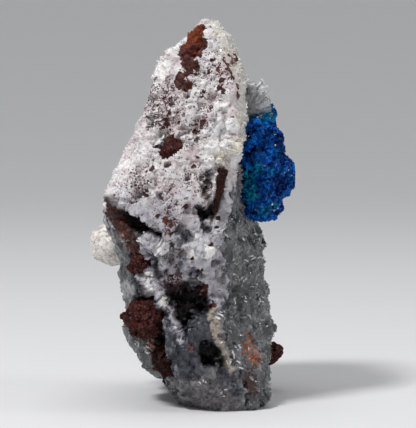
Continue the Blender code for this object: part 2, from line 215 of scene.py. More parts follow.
def finely_meshed(node_name, piece_name, face_size, smoothings=2):
    """A new object with the shape of one solid, in even faces of this size."""
    piece = add_object(piece_name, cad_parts[node_name].data.copy())
    piece.modifiers.new("weld", "WELD").merge_threshold = SAME_CORNER
    remesh = piece.modifiers.new("even faces", "REMESH")
    remesh.mode = "VOXEL"
    remesh.voxel_size = face_size
    soften = piece.modifiers.new("soften", "SMOOTH")
    soften.factor = 0.5
    soften.iterations = smoothings
    evaluated = piece.evaluated_get(bpy.context.evaluated_depsgraph_get())
    fine = bpy.data.meshes.new_from_object(evaluated)
    piece.modifiers.clear()
    piece.data = fine
    fine.materials.clear()
    return piece


def table(rows, name):
    """One value of each corner or face of a mesh, such as its middle, as a table of three columns."""
    values = np.empty(len(rows) * 3)
    rows.foreach_get(name, values)
    return values.reshape(-1, 3)


def places_of(mesh):
    """The corners of a mesh and their normals, as two tables."""
    return table(mesh.vertices, "co"), table(mesh.vertex_normals, "vector")


def inside_box(points):
    """The points, held inside the box of the whole specimen."""
    return np.clip(points, np.array(box_low), np.array(box_high))


def raise_surface(piece, points, normals, height, crease=None):
    """Puts the corners of a piece at these points, raised along their normals.

    It is shaded smooth, but edges that bend by more than the crease, in degrees, stay sharp."""
    piece.data.vertices.foreach_set("co", inside_box(points + normals * height[:, None]).ravel())
    piece.data.update()
    piece.data.shade_smooth()
    if crease:
        piece.data.set_sharp_from_angle(angle=math.radians(crease))
    return piece


# %% Noise of a few kinds
def swell(point):
    """Soft hills and dips."""
    return noise.noise(point)


def ridge(point):
    """Sharp crests with soft valleys between."""
    return 1 - 2 * abs(noise.noise(point)) ** 0.7


def grain(point):
    """Round grains, each highest in its middle."""
    return 0.5 - noise.voronoi(point)[0][0]


def facet(point):
    """Flat faces, each tilted its own way, like broken crystals."""
    seed = noise.voronoi(point)[1][0]
    tilt = noise.cell_vector(seed * 31.7) * 2 - Vector((1, 1, 1))
    return (point - seed).dot(tilt)


# Each layer reads the noise this far from the one before, so that two of the same kind don't line up.
LAYER_SHIFT = 7.3


def relief(points, layers):
    """The height of the surface at each point. A layer is a kind of noise, its size and its height."""
    height = np.zeros(len(points))
    for number, (kind, size, rise) in enumerate(layers):
        shifted = points / size + LAYER_SHIFT * (number + 1)
        height += rise * np.array([kind(Vector(point)) for point in shifted])
    return height


def uneven(points, share, size=0.9 * MM):
    """The same share with a broken outline, so that a dent or a patch doesn't end in a circle."""
    return share * (1 + relief(points, ((swell, size, 1.5), (swell, size / 2, 1.0))))


def patch(points, marks, low=0.1, high=0.45):
    """A mask from named marks, with an uneven outline."""
    return smooth_step(uneven(points, nearness(points, marks)), low, high)


def line_patch(points, lines, reach, low, high, size=0.9 * MM):
    """A mask from named lines, with an uneven outline."""
    return smooth_step(uneven(points, line_nearness(points, lines, reach), size), low, high)


# %% [markdown]
# ## Many small crystals in one mesh
# A druse has thousands of crystals. Separate objects would be slow, and instances are lost on export. So
# one small crystal is made with bmesh, and numpy copies its corners to every place, turned and scaled, into
# one mesh.

# %% Templates of single crystals
def template(build):
    """The corners and faces of a small mesh that a function builds around the origin."""
    shape = bmesh.new()
    build(shape)
    bmesh.ops.triangulate(shape, faces=shape.faces)
    shape.verts.index_update()
    corners = np.array([corner.co for corner in shape.verts])
    faces = np.array([[corner.index for corner in face.verts] for face in shape.faces])
    shape.free()
    return corners, faces


def build_block(shape):
    """A blocky crystal, one unit wide and high, with its foot at the origin and its top edges cut off."""
    bmesh.ops.create_cube(shape, size=1.0)
    for corner in shape.verts:
        corner.co.z += 0.5
        if corner.co.z > 0.5:
            corner.co.x *= 0.72
            corner.co.y *= 0.84


def build_point(shape):
    """A six-sided crystal with a low point, one unit wide and one high."""
    bmesh.ops.create_cone(shape, segments=6, radius1=0.5, radius2=0.44, depth=0.75, cap_ends=True)
    for corner in shape.verts:
        corner.co.z += 0.375
    top = max(shape.faces, key=lambda face: face.calc_center_median().z)
    poked = bmesh.ops.poke(shape, faces=[top])
    poked["verts"][0].co.z += 0.25


def build_blade(shape):
    """A flat blade, one unit long, widest above its middle and with a slanting tip."""
    bmesh.ops.create_cube(shape, size=1.0)
    for corner in shape.verts:
        corner.co.z += 0.5
        if corner.co.z < 0.5:
            corner.co.x *= 0.4
        else:
            corner.co.z = 0.86 if corner.co.x > 0 else 1.0
            corner.co.y *= 0.55


BLOCK = template(build_block)
POINT = template(build_point)
BLADE = template(build_blade)
print("one block has", len(BLOCK[1]), "triangles, one point", len(POINT[1]), "and one blade", len(BLADE[1]))


# %% Copy a crystal to many places
# Just over two pi radians.
FULL_TURN = 6.3
def frames_along(directions, turns):
    """For each direction, the matrix that turns +Z to it, after a turn about +Z."""
    up = directions / np.linalg.norm(directions, axis=1)[:, None]
    helper = np.where(np.abs(up[:, 2:]) < 0.9, [[0.0, 0.0, 1.0]], [[1.0, 0.0, 0.0]])
    side = np.cross(helper, up)
    side /= np.linalg.norm(side, axis=1)[:, None]
    other = np.cross(up, side)
    cos = np.cos(turns)[:, None]
    sin = np.sin(turns)[:, None]
    return np.stack([cos * side + sin * other, cos * other - sin * side, up], axis=2)


def crystals(shape, feet, directions, sizes, rolls):
    """The corners and faces of one template copied to every foot, each turned at random about its direction.

    Sizes are three lengths for each, and rolls is the random generator."""
    corners, faces = shape
    turns = rolls.uniform(0, FULL_TURN, len(feet))
    turned = np.einsum("nij,nkj->nki", frames_along(directions, turns), corners[None] * sizes[:, None, :])
    placed = turned + feet[:, None, :]
    shift = (np.arange(len(feet)) * len(corners))[:, None, None]
    return placed.reshape(-1, 3), (faces[None] + shift).reshape(-1, 3)


def joined(name, parts):
    """One object from several tables of corners and faces."""
    firsts = np.cumsum([0] + [len(corners) for corners, _ in parts])
    corners = np.concatenate([corners for corners, _ in parts])
    faces = np.concatenate([faces + first for (_, faces), first in zip(parts, firsts)])
    mesh = bpy.data.meshes.new(name)
    mesh.from_pydata(inside_box(corners).tolist(), [], faces.tolist())
    return add_object(name, mesh)


# %% Stand crystals on a surface
def scatter(mesh, count, chance, rolls):
    """Random places on a mesh, as points and normals. Chance is a weight for each face."""
    areas = np.empty(len(mesh.polygons))
    mesh.polygons.foreach_get("area", areas)
    weights = chance * areas
    chosen = rolls.choice(len(weights), size=count, p=weights / weights.sum())
    spread = np.sqrt(areas[chosen])[:, None] * rolls.uniform(-0.5, 0.5, (count, 3))
    return table(mesh.polygons, "center")[chosen] + spread, table(mesh.polygons, "normal")[chosen]


def leaning(normals, lean, rolls):
    """The normals, each tipped at random. Lean 0 keeps them, and 1 tips by up to 45 degrees."""
    return normals + lean * rolls.uniform(-1, 1, normals.shape)


def stand_on(mesh, shape, count, chance, rolls, widths, depths, heights, sunk, lean):
    """Copies of one crystal at random places of a mesh.

    Widths is a range in millimetres, and depths and heights are ranges of shares of the width. Sunk is the
    share of its height that lies below the surface."""
    feet, ways = scatter(mesh, count, chance, rolls)
    wide = rolls.uniform(*widths, count) * MM
    sizes = [wide, wide * rolls.uniform(*depths, count), wide * rolls.uniform(*heights, count)]
    sizes = np.stack(sizes, axis=1)
    feet -= ways * sizes[:, 2:] * sunk
    return crystals(shape, feet, leaning(ways, lean, rolls), sizes, rolls)


# %% [markdown]
# ## Finishes
# Each finish is a small graph of shader nodes: noise and cells for the fine pattern, and the masks stored
# on the mesh for where a colour lies. A helper class keeps the graphs short, with one method for each node
# used.

# %% A helper for shader graphs
FINE = 6.0
BUMP_STRENGTH = 0.6


class Finish:
    """A material with one Principled shader, and short names for the nodes that feed it."""

    def __init__(self, name, **sockets):
        self.material = bpy.data.materials.new(name)
        self.material.use_nodes = True
        self.nodes = self.material.node_tree.nodes
        self.links = self.material.node_tree.links
        self.shader = self.nodes["Principled BSDF"]
        self.place = self.nodes.new("ShaderNodeTexCoord").outputs["Object"]
        self.set(**sockets)

    def feed(self, socket, value):
        """Puts a value or another node's output into a socket."""
        if isinstance(value, bpy.types.NodeSocket):
            self.links.new(value, socket)
        else:
            socket.default_value = value

    def set(self, **sockets):
        """Puts values or other nodes' outputs into the shader's own sockets."""
        for name, value in sockets.items():
            self.feed(self.shader.inputs[name.replace("_", " ")], value)

    def node(self, kind, **inputs):
        """A new node, with values or other nodes' outputs in its named sockets."""
        made = self.nodes.new("ShaderNode" + kind)
        for name, value in inputs.items():
            self.feed(made.inputs[name], value)
        return made

    def clouds(self, size, detail=4.0):
        """Soft noise from 0 to 1, with patches of this size."""
        return self.node("TexNoise", Scale=1 / size, Detail=detail, Vector=self.place).outputs["Fac"]

    def cells(self, size, output="Distance"):
        """Cells of this size: the distance to the middle of each, or its own random colour."""
        return self.node("TexVoronoi", Scale=1 / size, Vector=self.place).outputs[output]

    def mask(self, name):
        """A mask that is stored on the corners of the mesh."""
        node = self.node("Attribute")
        node.attribute_name = name
        return node.outputs["Fac"]

    def sum(self, kind, first, second=0.0, third=0.0):
        """A sum of the given kind, such as ADD or MULTIPLY, held between 0 and 1."""
        node = self.node("Math")
        node.operation = kind
        node.use_clamp = True
        for socket, value in zip(node.inputs, (first, second, third)):
            self.feed(socket, value)
        return node.outputs[0]

    def between(self, value, low, high, to_low=0.0, to_high=1.0):
        """A value moved from one range to another, and held inside it."""
        node = self.node("MapRange")
        for socket, number in zip(node.inputs, (value, low, high, to_low, to_high)):
            self.feed(socket, number)
        return node.outputs["Result"]

    def patches(self, size, low, high, to_low=0.0, to_high=1.0, detail=4.0):
        """Clouds of this size with a harder edge, which goes from one value to the other."""
        return self.between(self.clouds(size, detail), low, high, to_low, to_high)

    def scaled(self, name, to_low, to_high):
        """A mask moved from the range 0 to 1 to another one."""
        return self.between(self.mask(name), 0.0, 1.0, to_low, to_high)

    def ragged(self):
        """Fine noise that breaks the edge of a mask."""
        return self.sum("SUBTRACT", self.clouds(0.5 * MM, FINE), 0.5)

    def torn(self, name, ragged, low, high):
        """A mask whose edge is broken by a ragged noise."""
        return self.between(self.sum("ADD", self.mask(name), ragged), low, high)

    def crumbs(self, size, chance):
        """Uneven dots, at most one to a cell of this size. The chance is how many of the cells have one."""
        own = self.between(self.cells(size, "Color"), 0.15, 0.85)
        reach = self.between(self.sum("SUBTRACT", chance, own), 0.0, 0.5, 0.05, 0.62)
        wobble = self.patches(0.5 * size, 0.3, 0.7, -0.28, 0.28, 3.0)
        away = self.sum("ADD", self.cells(size), wobble)
        return self.between(self.sum("SUBTRACT", reach, away), 0.0, 0.06)

    def mix(self, share, first, second):
        """Two colours mixed by a share from 0, all first, to 1, all second."""
        node = self.node("Mix")
        node.data_type = "RGBA"
        for socket, value in (("Factor", share), (6, first), (7, second)):
            self.feed(node.inputs[socket], value)
        return node.outputs[2]

    def bump(self, height, depth):
        """Fine relief in the shading, depth metres deep."""
        node = self.node("Bump", Strength=BUMP_STRENGTH, Distance=depth, Height=height)
        self.set(Normal=node.outputs["Normal"])


def store(piece, **masks):
    """Keeps masks on the corners of a piece, each under its name."""
    for name, values in masks.items():
        kept = piece.data.attributes.get(name) or piece.data.attributes.new(name, "FLOAT", "POINT")
        kept.data.foreach_set("value", np.asarray(values, np.float32))


def hand_over(piece, finish, slot, *nodes):
    """Gives a piece its finish, puts it on the body and hides the solids that it stands for."""
    piece.data.materials.append(finish.material)
    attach(piece, BODY)
    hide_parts(*nodes)
    print(piece.name, "has", sum(len(face.vertices) - 2 for face in piece.data.polygons), "triangles")


# %% [markdown]
# ## The rock
# The rock is white to pinkish zeolite full of tiny red-brown crumbs. Its upper half is rough and bright,
# and its lower half is glassy, with broad broken planes and deep hollows. There its colour is bluish grey,
# partly the rock's own and partly painted shade, and its hollows, pits and creases are painted dark as
# painted shade. The shape comes in layers: swells, sharp ridges, tilted faces and grains. Then named dents
# and lumps put the largest ones where the photo has them.

# %% Shape the rock
ROCK_FACE = 0.29 * MM
ROCK_CREASE = 24
GAP_FILL = 0.22 * MM
ROCK_LAYERS = (
    (swell, 3.4 * MM, 0.55 * MM),
    (ridge, 1.9 * MM, 0.32 * MM),
    (facet, 1.6 * MM, 0.38 * MM),
    (grain, 0.7 * MM, 0.20 * MM),
    (facet, 0.55 * MM, 0.30 * MM),
)
PLANE_LAYERS = ((facet, 3.2 * MM, 0.70 * MM), (facet, 1.5 * MM, 0.35 * MM))
CRUMB = 0.045 * MM
PIT_DEPTHS = (0.10 * MM, 0.55 * MM)

# Marks are the pixel across, the pixel down and the reach in millimetres.
ROCK_LUMPS = (
    (170, 60, 2.8), (228, 150, 2.6), (206, 250, 1.7), (163, 300, 1.4), (140, 137, 1.2), (195, 194, 1.8),
    (161, 250, 1.5), (163, 262, 1.3), (190, 262, 1.0), (148, 178, 1.6), (178, 176, 1.4), (209, 86, 1.4),
    (148, 277, 1.8), (215, 120, 1.8), (185, 390, 1.8), (205, 396, 1.4), (157, 152, 1.0), (192, 118, 1.0),
)
ROCK_DENTS = (
    (150, 123, 1.6), (146, 114, 0.9), (164, 133, 0.9), (183, 131, 1.0), (207, 177, 1.4), (206, 187, 1.3),
    (197, 209, 1.5), (206, 212, 1.5), (183, 230, 1.0), (189, 235, 1.2), (184, 241, 1.1), (191, 241, 0.8),
    (191, 270, 1.0), (197, 275, 1.2), (192, 281, 1.0), (200, 283, 0.8), (150, 262, 0.9), (204, 228, 0.8),
    (168, 166, 0.7), (155, 100, 0.7), (212, 262, 0.8), (178, 263, 0.8), (160, 196, 0.8), (138, 196, 0.7),
    (198, 140, 0.7), (172, 104, 0.6), (188, 96, 0.6), (140, 152, 0.7), (187, 178, 0.7),
)
# The large hollows, dented in, and painted dark inside as painted shade.
HOLLOW_MARKS = (
    (174, 292, 1.8), (184, 291, 2.0), (193, 293, 1.9), (175, 299, 2.2), (182, 300, 2.6), (190, 299, 2.8),
    (198, 303, 2.4), (184, 312, 2.3), (183, 321, 1.9), (161, 334, 1.9), (162, 344, 2.1), (161, 353, 1.6),
    (212, 355, 2.1), (207, 347, 1.4),
)
# The smooth plane below the hollows, painted dark grey: partly its own grey and partly painted shade.
SLAB_MARKS = (
    (194, 326, 2.6), (200, 338, 2.8), (207, 364, 2.4), (187, 343, 2.0), (184, 358, 1.8), (192, 370, 2.2),
    (196, 352, 2.2), (204, 322, 1.6),
)
# The left edge of the upper half, as heights and places across in millimetres: a notch, the white bulge,
# and a steep break beside the top fragment.
LEFT_BREAK = (
    (42.7, -20.0), (43.7, -12.9), (46.7, -11.4), (49.8, -10.5), (51.3, -10.8), (52.8, -9.5), (54.3, -8.5),
    (55.8, -6.5), (57.4, -4.9), (58.9, -3.9), (60.0, -3.5),
)
RIDGE_LINES = (
    ((171, 212), (169, 232), (166, 255), (167, 280), (167, 298), (172, 314), (179, 332), (188, 352),
     (208, 388)),
    ((148, 247), (160, 244), (171, 243)),
    ((136, 262), (146, 277), (158, 290), (168, 306)),
    ((113, 196), (132, 202), (147, 211), (163, 231)),
)
GROOVE_LINES = (
    ((157, 145), (165, 134), (171, 123)),
    ((195, 132), (199, 118), (202, 104)),
    ((150, 249), (153, 256), (157, 269)),
    ((158, 270), (163, 281), (168, 290)),
    ((150, 160), (143, 172), (138, 186)),
    ((181, 226), (183, 246), (186, 262)),
)
LUMP_RISE = 0.7 * MM
DENT_DEPTH = 1.3 * MM
HOLLOW_DEPTH = 2.0 * MM
SEAM_FILL = 0.3 * MM
CRUST_EDGE = 1.6 * MM
RIDGE_RISE = 0.7 * MM
GROOVE_DEPTH = 0.7 * MM
LINE_REACH = 1.1 * MM
WAIST = 17.5 * MM
WAIST_WAVE = 7 * MM
COLLARED = ("red_clast_large", "red_clast_low", "red_clast_ring", "red_clast_middle", "red_clast_edge")
COLLAR_REACH = 1.3 * MM
COLLAR_RISE = 0.55 * MM


def lowness(points, height=WAIST, softness=3 * MM):
    """0 in the upper half and 1 in the lower one, with a wavy limit at this height."""
    wavy = points[:, 2] + WAIST_WAVE * relief(points, ((swell, 6.0 * MM, 1.0), (swell, 1.8 * MM, 0.4)))
    return smooth_step(height - wavy, -softness, softness)


def collar(points):
    """A ragged rim of rock round each red fragment, which sets it into the rock."""
    near = np.max([closeness(points, name, COLLAR_REACH) for name in COLLARED], axis=0)
    return smooth_step(near, 0, 0.8) * (0.5 + relief(points, ((swell, 1.0 * MM, 1.4),)))


def shape_rock():
    """The rock with its relief and its named lumps, dents, ridges and grooves."""
    piece = finely_meshed("matrix_rock", "rock", ROCK_FACE, 1)
    points, normals = places_of(piece.data)
    heights, places = np.array(LEFT_BREAK).T * MM
    points[:, 0] = np.maximum(points[:, 0], np.interp(points[:, 2], heights, places))
    low = lowness(points)
    rough = relief(points, ROCK_LAYERS)
    slab = smooth_step(nearness(points, SLAB_MARKS), 0, 0.5)
    height = GAP_FILL + rough * (1 - 0.35 * low) * (1 - 0.6 * slab)
    height += low * (1 - 0.5 * slab) * relief(points, PLANE_LAYERS)
    height += np.random.default_rng(5).normal(0, CRUMB, len(points)) * (1 - 0.5 * low)
    height += LUMP_RISE * patch(points, ROCK_LUMPS, 0, 0.8)
    height -= DENT_DEPTH * patch(points, ROCK_DENTS, 0.1, 0.6)
    height -= HOLLOW_DEPTH * patch(points, HOLLOW_MARKS, 0.1, 0.6)
    height += RIDGE_RISE * line_patch(points, RIDGE_LINES, LINE_REACH, 0, 0.9)
    height -= GROOVE_DEPTH * line_patch(points, GROOVE_LINES, LINE_REACH, 0, 0.9)
    height += COLLAR_RISE * collar(points)
    height += SEAM_FILL * smooth_step(closeness(points, "druse_crust_right", CRUST_EDGE), 0, 0.7)
    # Painted shade: the low places of the relief are stored, to be darkened in the colour.
    store(piece, pits=smooth_step(-rough, *PIT_DEPTHS) * (1 - 0.7 * slab))
    return raise_surface(piece, points, normals, height, ROCK_CREASE)


rock = shape_rock()
print("the rock has", len(rock.data.polygons), "faces")

# %% [markdown]
# ## Colours of the rock
# Each colour lies in patches. A mask stored on the mesh says roughly where, and noise in the shader breaks
# its edge. Some of the patches are painted shade: the darker lower half, in part, and the dark of the pits,
# creases and hollows. The red-brown crumbs are cells: each cell has its own random number, and it holds a
# dot only where the mask is above that number, so a stronger mask gives more and larger dots.

# %% Name the patches
CREAM_MARKS = (
    (222, 34, 1.6), (230, 50, 1.8), (238, 74, 2.0), (243, 98, 2.0), (242, 122, 2.0), (236, 146, 2.2),
    (222, 158, 2.0),
)
BROWN_SEAM = (((211, 308), (214, 322), (220, 345), (229, 364), (238, 376)),)
PALE_LINES = (
    ((170, 212), (168, 232), (163, 250), (164, 268), (167, 284), (167, 298), (172, 314), (178, 330),
     (184, 344)),
    ((148, 247), (160, 244), (171, 243)), ((158, 292), (164, 303), (170, 312)),
    ((134, 243), (142, 241)), ((135, 246), (131, 256), (134, 268), (144, 271)),
)
# Creases whose colour is darkened as painted shade.
PAINTED_CREASE_LINES = (
    ((150, 250), (154, 257), (157, 269)), ((158, 270), (163, 281), (168, 290)), ((134, 271), (144, 273)),
    ((173, 224), (174, 246), (172, 262)), ((208, 172), (207, 184), (205, 198)), ((139, 282), (143, 290)),
)
RED_LINES = (((108, 197), (113, 212), (121, 226), (129, 238), (134, 247)),
             ((199, 44), (194, 56), (189, 68), (184, 83)))
CLEAN_MARKS = (
    (168, 58, 3.2), (160, 72, 2.4), (178, 50, 2.0), (136, 140, 1.4), (128, 165, 1.4), (207, 250, 1.6),
    (162, 245, 1.5), (163, 300, 1.4), (148, 276, 1.2), (206, 34, 1.6), (214, 150, 2.2), (220, 105, 1.4),
    (120, 262, 2.2), (128, 290, 2.2), (117, 248, 1.4), (144, 345, 1.2), (192, 255, 1.2), (150, 288, 1.0),
)
# Shaded dents, painted grey as painted shade.
PAINTED_SHADE_GREY_MARKS = (
    (187, 236, 1.4), (150, 124, 1.2), (147, 114, 0.9), (196, 276, 1.4), (158, 262, 0.9), (202, 216, 1.4),
    (178, 272, 0.8), (207, 230, 1.0),
)
# Gaps and crevices whose colour is darkened as painted shade.
PAINTED_SHADE_MARKS = (
    (131, 214, 1.7), (142, 222, 1.3), (153, 232, 1.2), (163, 239, 0.8), (139, 249, 0.7), (200, 208, 1.1),
    (206, 212, 1.3), (208, 177, 1.2), (207, 186, 1.2), (205, 195, 1.2), (196, 209, 1.2), (152, 263, 0.6),
    (149, 124, 0.7), (190, 240, 0.6), (197, 278, 0.8), (157, 264, 0.5), (163, 276, 0.5), (165, 134, 0.5),
    (153, 160, 0.4), (196, 128, 0.5), (188, 132, 0.5), (143, 190, 0.5), (171, 171, 0.4),
)
RED_MARKS = (
    (200, 30, 1.2), (204, 44, 1.0), (182, 88, 0.7), (236, 58, 0.7), (232, 62, 0.7), (228, 64, 0.8),
    (222, 64, 0.7), (219, 70, 0.7), (229, 71, 0.8), (232, 77, 0.8), (228, 82, 0.7), (218, 88, 0.7),
    (224, 92, 0.7), (237, 97, 0.6), (208, 72, 0.6), (210, 80, 0.6), (204, 92, 0.6),
    (158, 151, 1.4), (180, 146, 0.8), (152, 168, 0.9), (166, 122, 1.0), (146, 193, 0.9), (150, 345, 1.6),
    (130, 322, 1.2), (158, 352, 1.4),
    (235, 54, 0.8), (230, 57, 0.8), (225, 59, 0.8), (226, 74, 1.2), (222, 82, 1.0), (238, 87, 0.7),
    (239, 93, 0.6), (213, 60, 0.6), (233, 118, 0.6), (197, 157, 0.7), (194, 167, 0.6), (196, 131, 0.7),
    (203, 123, 0.9), (183, 131, 0.9), (171, 226, 0.7), (172, 232, 0.7), (165, 220, 0.8), (157, 215, 0.7),
    (186, 207, 0.7), (193, 200, 0.6), (212, 208, 0.7), (210, 245, 0.9), (212, 235, 0.7), (192, 258, 0.6),
    (202, 268, 0.7), (204, 290, 1.4), (172, 275, 0.7), (177, 287, 0.7), (171, 291, 0.6), (190, 348, 1.1),
    (210, 358, 0.9), (212, 305, 0.9), (181, 331, 0.9), (180, 321, 0.9), (217, 218, 0.7), (216, 226, 0.6),
)
SPECK_MARKS = (
    (165, 105, 6.0), (150, 95, 4.0), (185, 120, 6.0), (200, 100, 4.5), (150, 185, 6.0), (175, 195, 6.0),
    (225, 74, 3.0), (190, 78, 2.8), (160, 215, 4.0), (200, 190, 3.0), (210, 60, 2.2), (172, 250, 2.4),
    (172, 275, 2.2), (176, 292, 2.0), (230, 60, 2.0),
)
DENSE_MARKS = (
    (150, 100, 4.0), (165, 112, 4.0), (160, 90, 3.0), (202, 124, 2.0), (166, 124, 1.6), (190, 76, 2.4),
    (224, 76, 2.0), (140, 178, 2.4), (205, 75, 1.6), (172, 226, 1.8), (175, 282, 1.8),
)

# The hollows in the front, painted dark inside as painted shade: middle and half sizes in millimetres, and
# turn about Y in degrees.
HOLLOWS = (
    ((-14.0, -15.2, 29.2), (5.6, 5.2, 2.3), 22),
    ((-9.8, -14.6, 27.0), (3.6, 3.6, 1.3), 42),
    ((-6.3, -13.6, 16.8), (2.7, 6.0, 2.2), 8),
    ((-6.4, -13.4, 13.8), (1.2, 4.8, 2.1), 10),
    ((-2.9, -14.2, 8.2), (2.3, 3.8, 1.8), 35),
    ((-9.8, -13.0, 10.4), (1.3, 4.4, 2.5), -15),
    ((-3.6, -15.4, 30.4), (1.6, 3.4, 1.5), 0),
)


def inside_hollows(points):
    """How deep each point lies in a hollow of the front: 0 at the rim and outside, 1 at the bottom."""
    deepest = np.zeros(len(points))
    for middle, half_sizes, turn in HOLLOWS:
        away = points / MM - np.array(middle)
        cos, sin = math.cos(math.radians(turn)), math.sin(math.radians(turn))
        across = cos * away[:, 0] - sin * away[:, 2]
        upward = sin * away[:, 0] + cos * away[:, 2]
        out = np.linalg.norm(np.stack([across, away[:, 1], upward], axis=1) / np.array(half_sizes), axis=1)
        depth = np.clip(away[:, 1] / half_sizes[1], 0, 1)
        deepest = np.maximum(deepest, smooth_step(depth, 0.05, 0.4) * smooth_step(out, 1.5, 1.15))
    return deepest


# %% Lay out the patches
CREAM_FROM = 36.5 * MM
# Painted shade: below about this height the rock's colour goes to a darker bluish grey.
PAINTED_SHADE_FROM = 29 * MM
FOOT_HEIGHT = 6 * MM
CRUST_TINT_TO = CREAM_FROM - 4 * MM
LEFT_EDGE = 4.0 * MM
SEAM_REACH = 1.3 * MM
PALE_REACH = 1.1 * MM
STREAK_REACH = 1.9 * MM
CREASE_SHADE_REACH = 0.9 * MM
BACK_FROM, BACK_TO = -6 * MM, 2 * MM


def lay_out_patches(piece):
    """Stores the masks of the colours that the rock and the crusts share, painted shade among them."""
    points, _ = places_of(piece.data)
    low = lowness(points)
    clean = patch(points, CLEAN_MARKS)
    slab = patch(points, SLAB_MARKS, 0.0, 0.5)
    pale = line_patch(points, PALE_LINES, PALE_REACH, 0.1, 0.6)
    streak = line_patch(points, RED_LINES, STREAK_REACH, 0.15, 0.5, 1.4 * MM)
    crease_shade = line_patch(points, PAINTED_CREASE_LINES, CREASE_SHADE_REACH, 0.15, 0.6)
    behind = smooth_step(points[:, 1], BACK_FROM, BACK_TO)
    patchy = smooth_step(relief(points + 5 * MM, ((swell, 4.0 * MM, 1.0),)), -0.3, 0.4)
    specks = (0.30 + 0.15 * behind) * patchy + 0.36 * smooth_step(nearness(points, SPECK_MARKS), 0, 0.5)
    specks += 0.40 * smooth_step(nearness(points, DENSE_MARKS), 0, 0.5)
    # The lower half and the slab are painted dark grey: partly the rock's own bluish grey and partly painted
    # shade.
    grey = np.max([(0.80 - 0.45 * behind) * low, patch(points, PAINTED_SHADE_GREY_MARKS, 0.0, 0.5), slab], axis=0)
    # deep is painted shade: the hollows, the gaps and the creases are painted near black.
    deep = np.max([inside_hollows(points), patch(points, PAINTED_SHADE_MARKS, 0.1, 0.5),
                   patch(points, HOLLOW_MARKS, 0.0, 0.3), 0.85 * crease_shade], axis=0)
    # The mask shade is the lower half, whose colour is darkened as painted shade.
    store(piece, slab=slab, deep=deep, clean=clean, low=low, cream=patch(points, CREAM_MARKS),
          seam=0.7 * line_patch(points, BROWN_SEAM, SEAM_REACH, 0.1, 0.6),
          red=np.maximum(patch(points, RED_MARKS, 0.2, 0.5), streak),
          foot=lowness(points, FOOT_HEIGHT, 2 * MM), shade=lowness(points, PAINTED_SHADE_FROM, 6 * MM),
          grey=grey * (1 - 0.85 * pale), specks=specks * (1 - 0.8 * clean) * (1 - 0.75 * low) + 0.3 * pale)


def mark_crust_edge(piece):
    """Stores where the rock lies close to a crust, whose colour goes on there for a little."""
    points, _ = places_of(piece.data)
    right = closeness(points, "druse_crust_right", CRUST_EDGE)
    left = closeness(points, "druse_crust_left", LEFT_EDGE)
    near = np.maximum(uneven(points, right, 1.4 * MM), uneven(points, left, 2.6 * MM))
    store(piece, edge=near * lowness(points, CRUST_TINT_TO))


lay_out_patches(rock)
mark_crust_edge(rock)

# %% The rock's finish
WHITE_ROCK = (0.76, 0.74, 0.74, 1)
PINK_ROCK = (0.60, 0.50, 0.50, 1)
# Painted shade for the lower half of the rock.
PAINTED_SHADE_ROCK = (0.34, 0.35, 0.40, 1)
CREAM_ROCK = (0.78, 0.73, 0.64, 1)
# The dark greys of the slab and the lower half: their own grey, darkened further as painted shade.
GREY_ROCK_AND_SHADE = (0.026, 0.029, 0.040, 1)
GREY_PALE_AND_SHADE = (0.085, 0.090, 0.108, 1)
SEAM_ROCK = (0.36, 0.31, 0.25, 1)
FOOT_ROCK = (0.11, 0.10, 0.095, 1)
CLEAN_ROCK = (0.84, 0.82, 0.80, 1)
# Painted shade in the pits of the relief.
PAINTED_PIT_SHADE = (0.20, 0.16, 0.17, 1)
HAZE = (0.30, 0.19, 0.21, 1)
# The grey of the crusts: their own grey, darkened further as painted shade.
CRUST_GREY_AND_SHADE = (0.050, 0.053, 0.064, 1)
CRUST_PALE = (0.22, 0.222, 0.235, 1)
DARK_RED = (0.038, 0.008, 0.006, 1)
PURPLE_RED = (0.085, 0.030, 0.034, 1)
ORANGE_RED = (0.24, 0.050, 0.014, 1)
# Painted shade for the hollows, gaps and creases.
PAINTED_HOLLOW_SHADE = (0.009, 0.008, 0.009, 1)


def add_reds(finish, colour, orange_from=0.54):
    """Puts the red-brown haze, crumbs and stains over a colour."""
    clumps = finish.patches(1.3 * MM, 0.35, 0.62, 0.45, 1.2)
    chance = finish.sum("MULTIPLY", finish.mask("specks"), clumps)
    haze = finish.sum("MULTIPLY", chance, finish.patches(0.6 * MM, 0.42, 0.62, 0.0, 0.75, FINE))
    colour = finish.mix(haze, colour, HAZE)
    hue = finish.mix(finish.patches(1.4 * MM, 0.4, 0.6), DARK_RED, PURPLE_RED)
    for size, share in ((0.22 * MM, 0.9), (0.36 * MM, 0.9), (0.8 * MM, 0.45)):
        colour = finish.mix(finish.crumbs(size, finish.sum("MULTIPLY", chance, share)), colour, hue)
    rusty = finish.mix(finish.patches(0.9 * MM, orange_from, orange_from + 0.16), DARK_RED, ORANGE_RED)
    return finish.mix(finish.torn("red", finish.ragged(), 0.4, 0.6), colour, rusty)


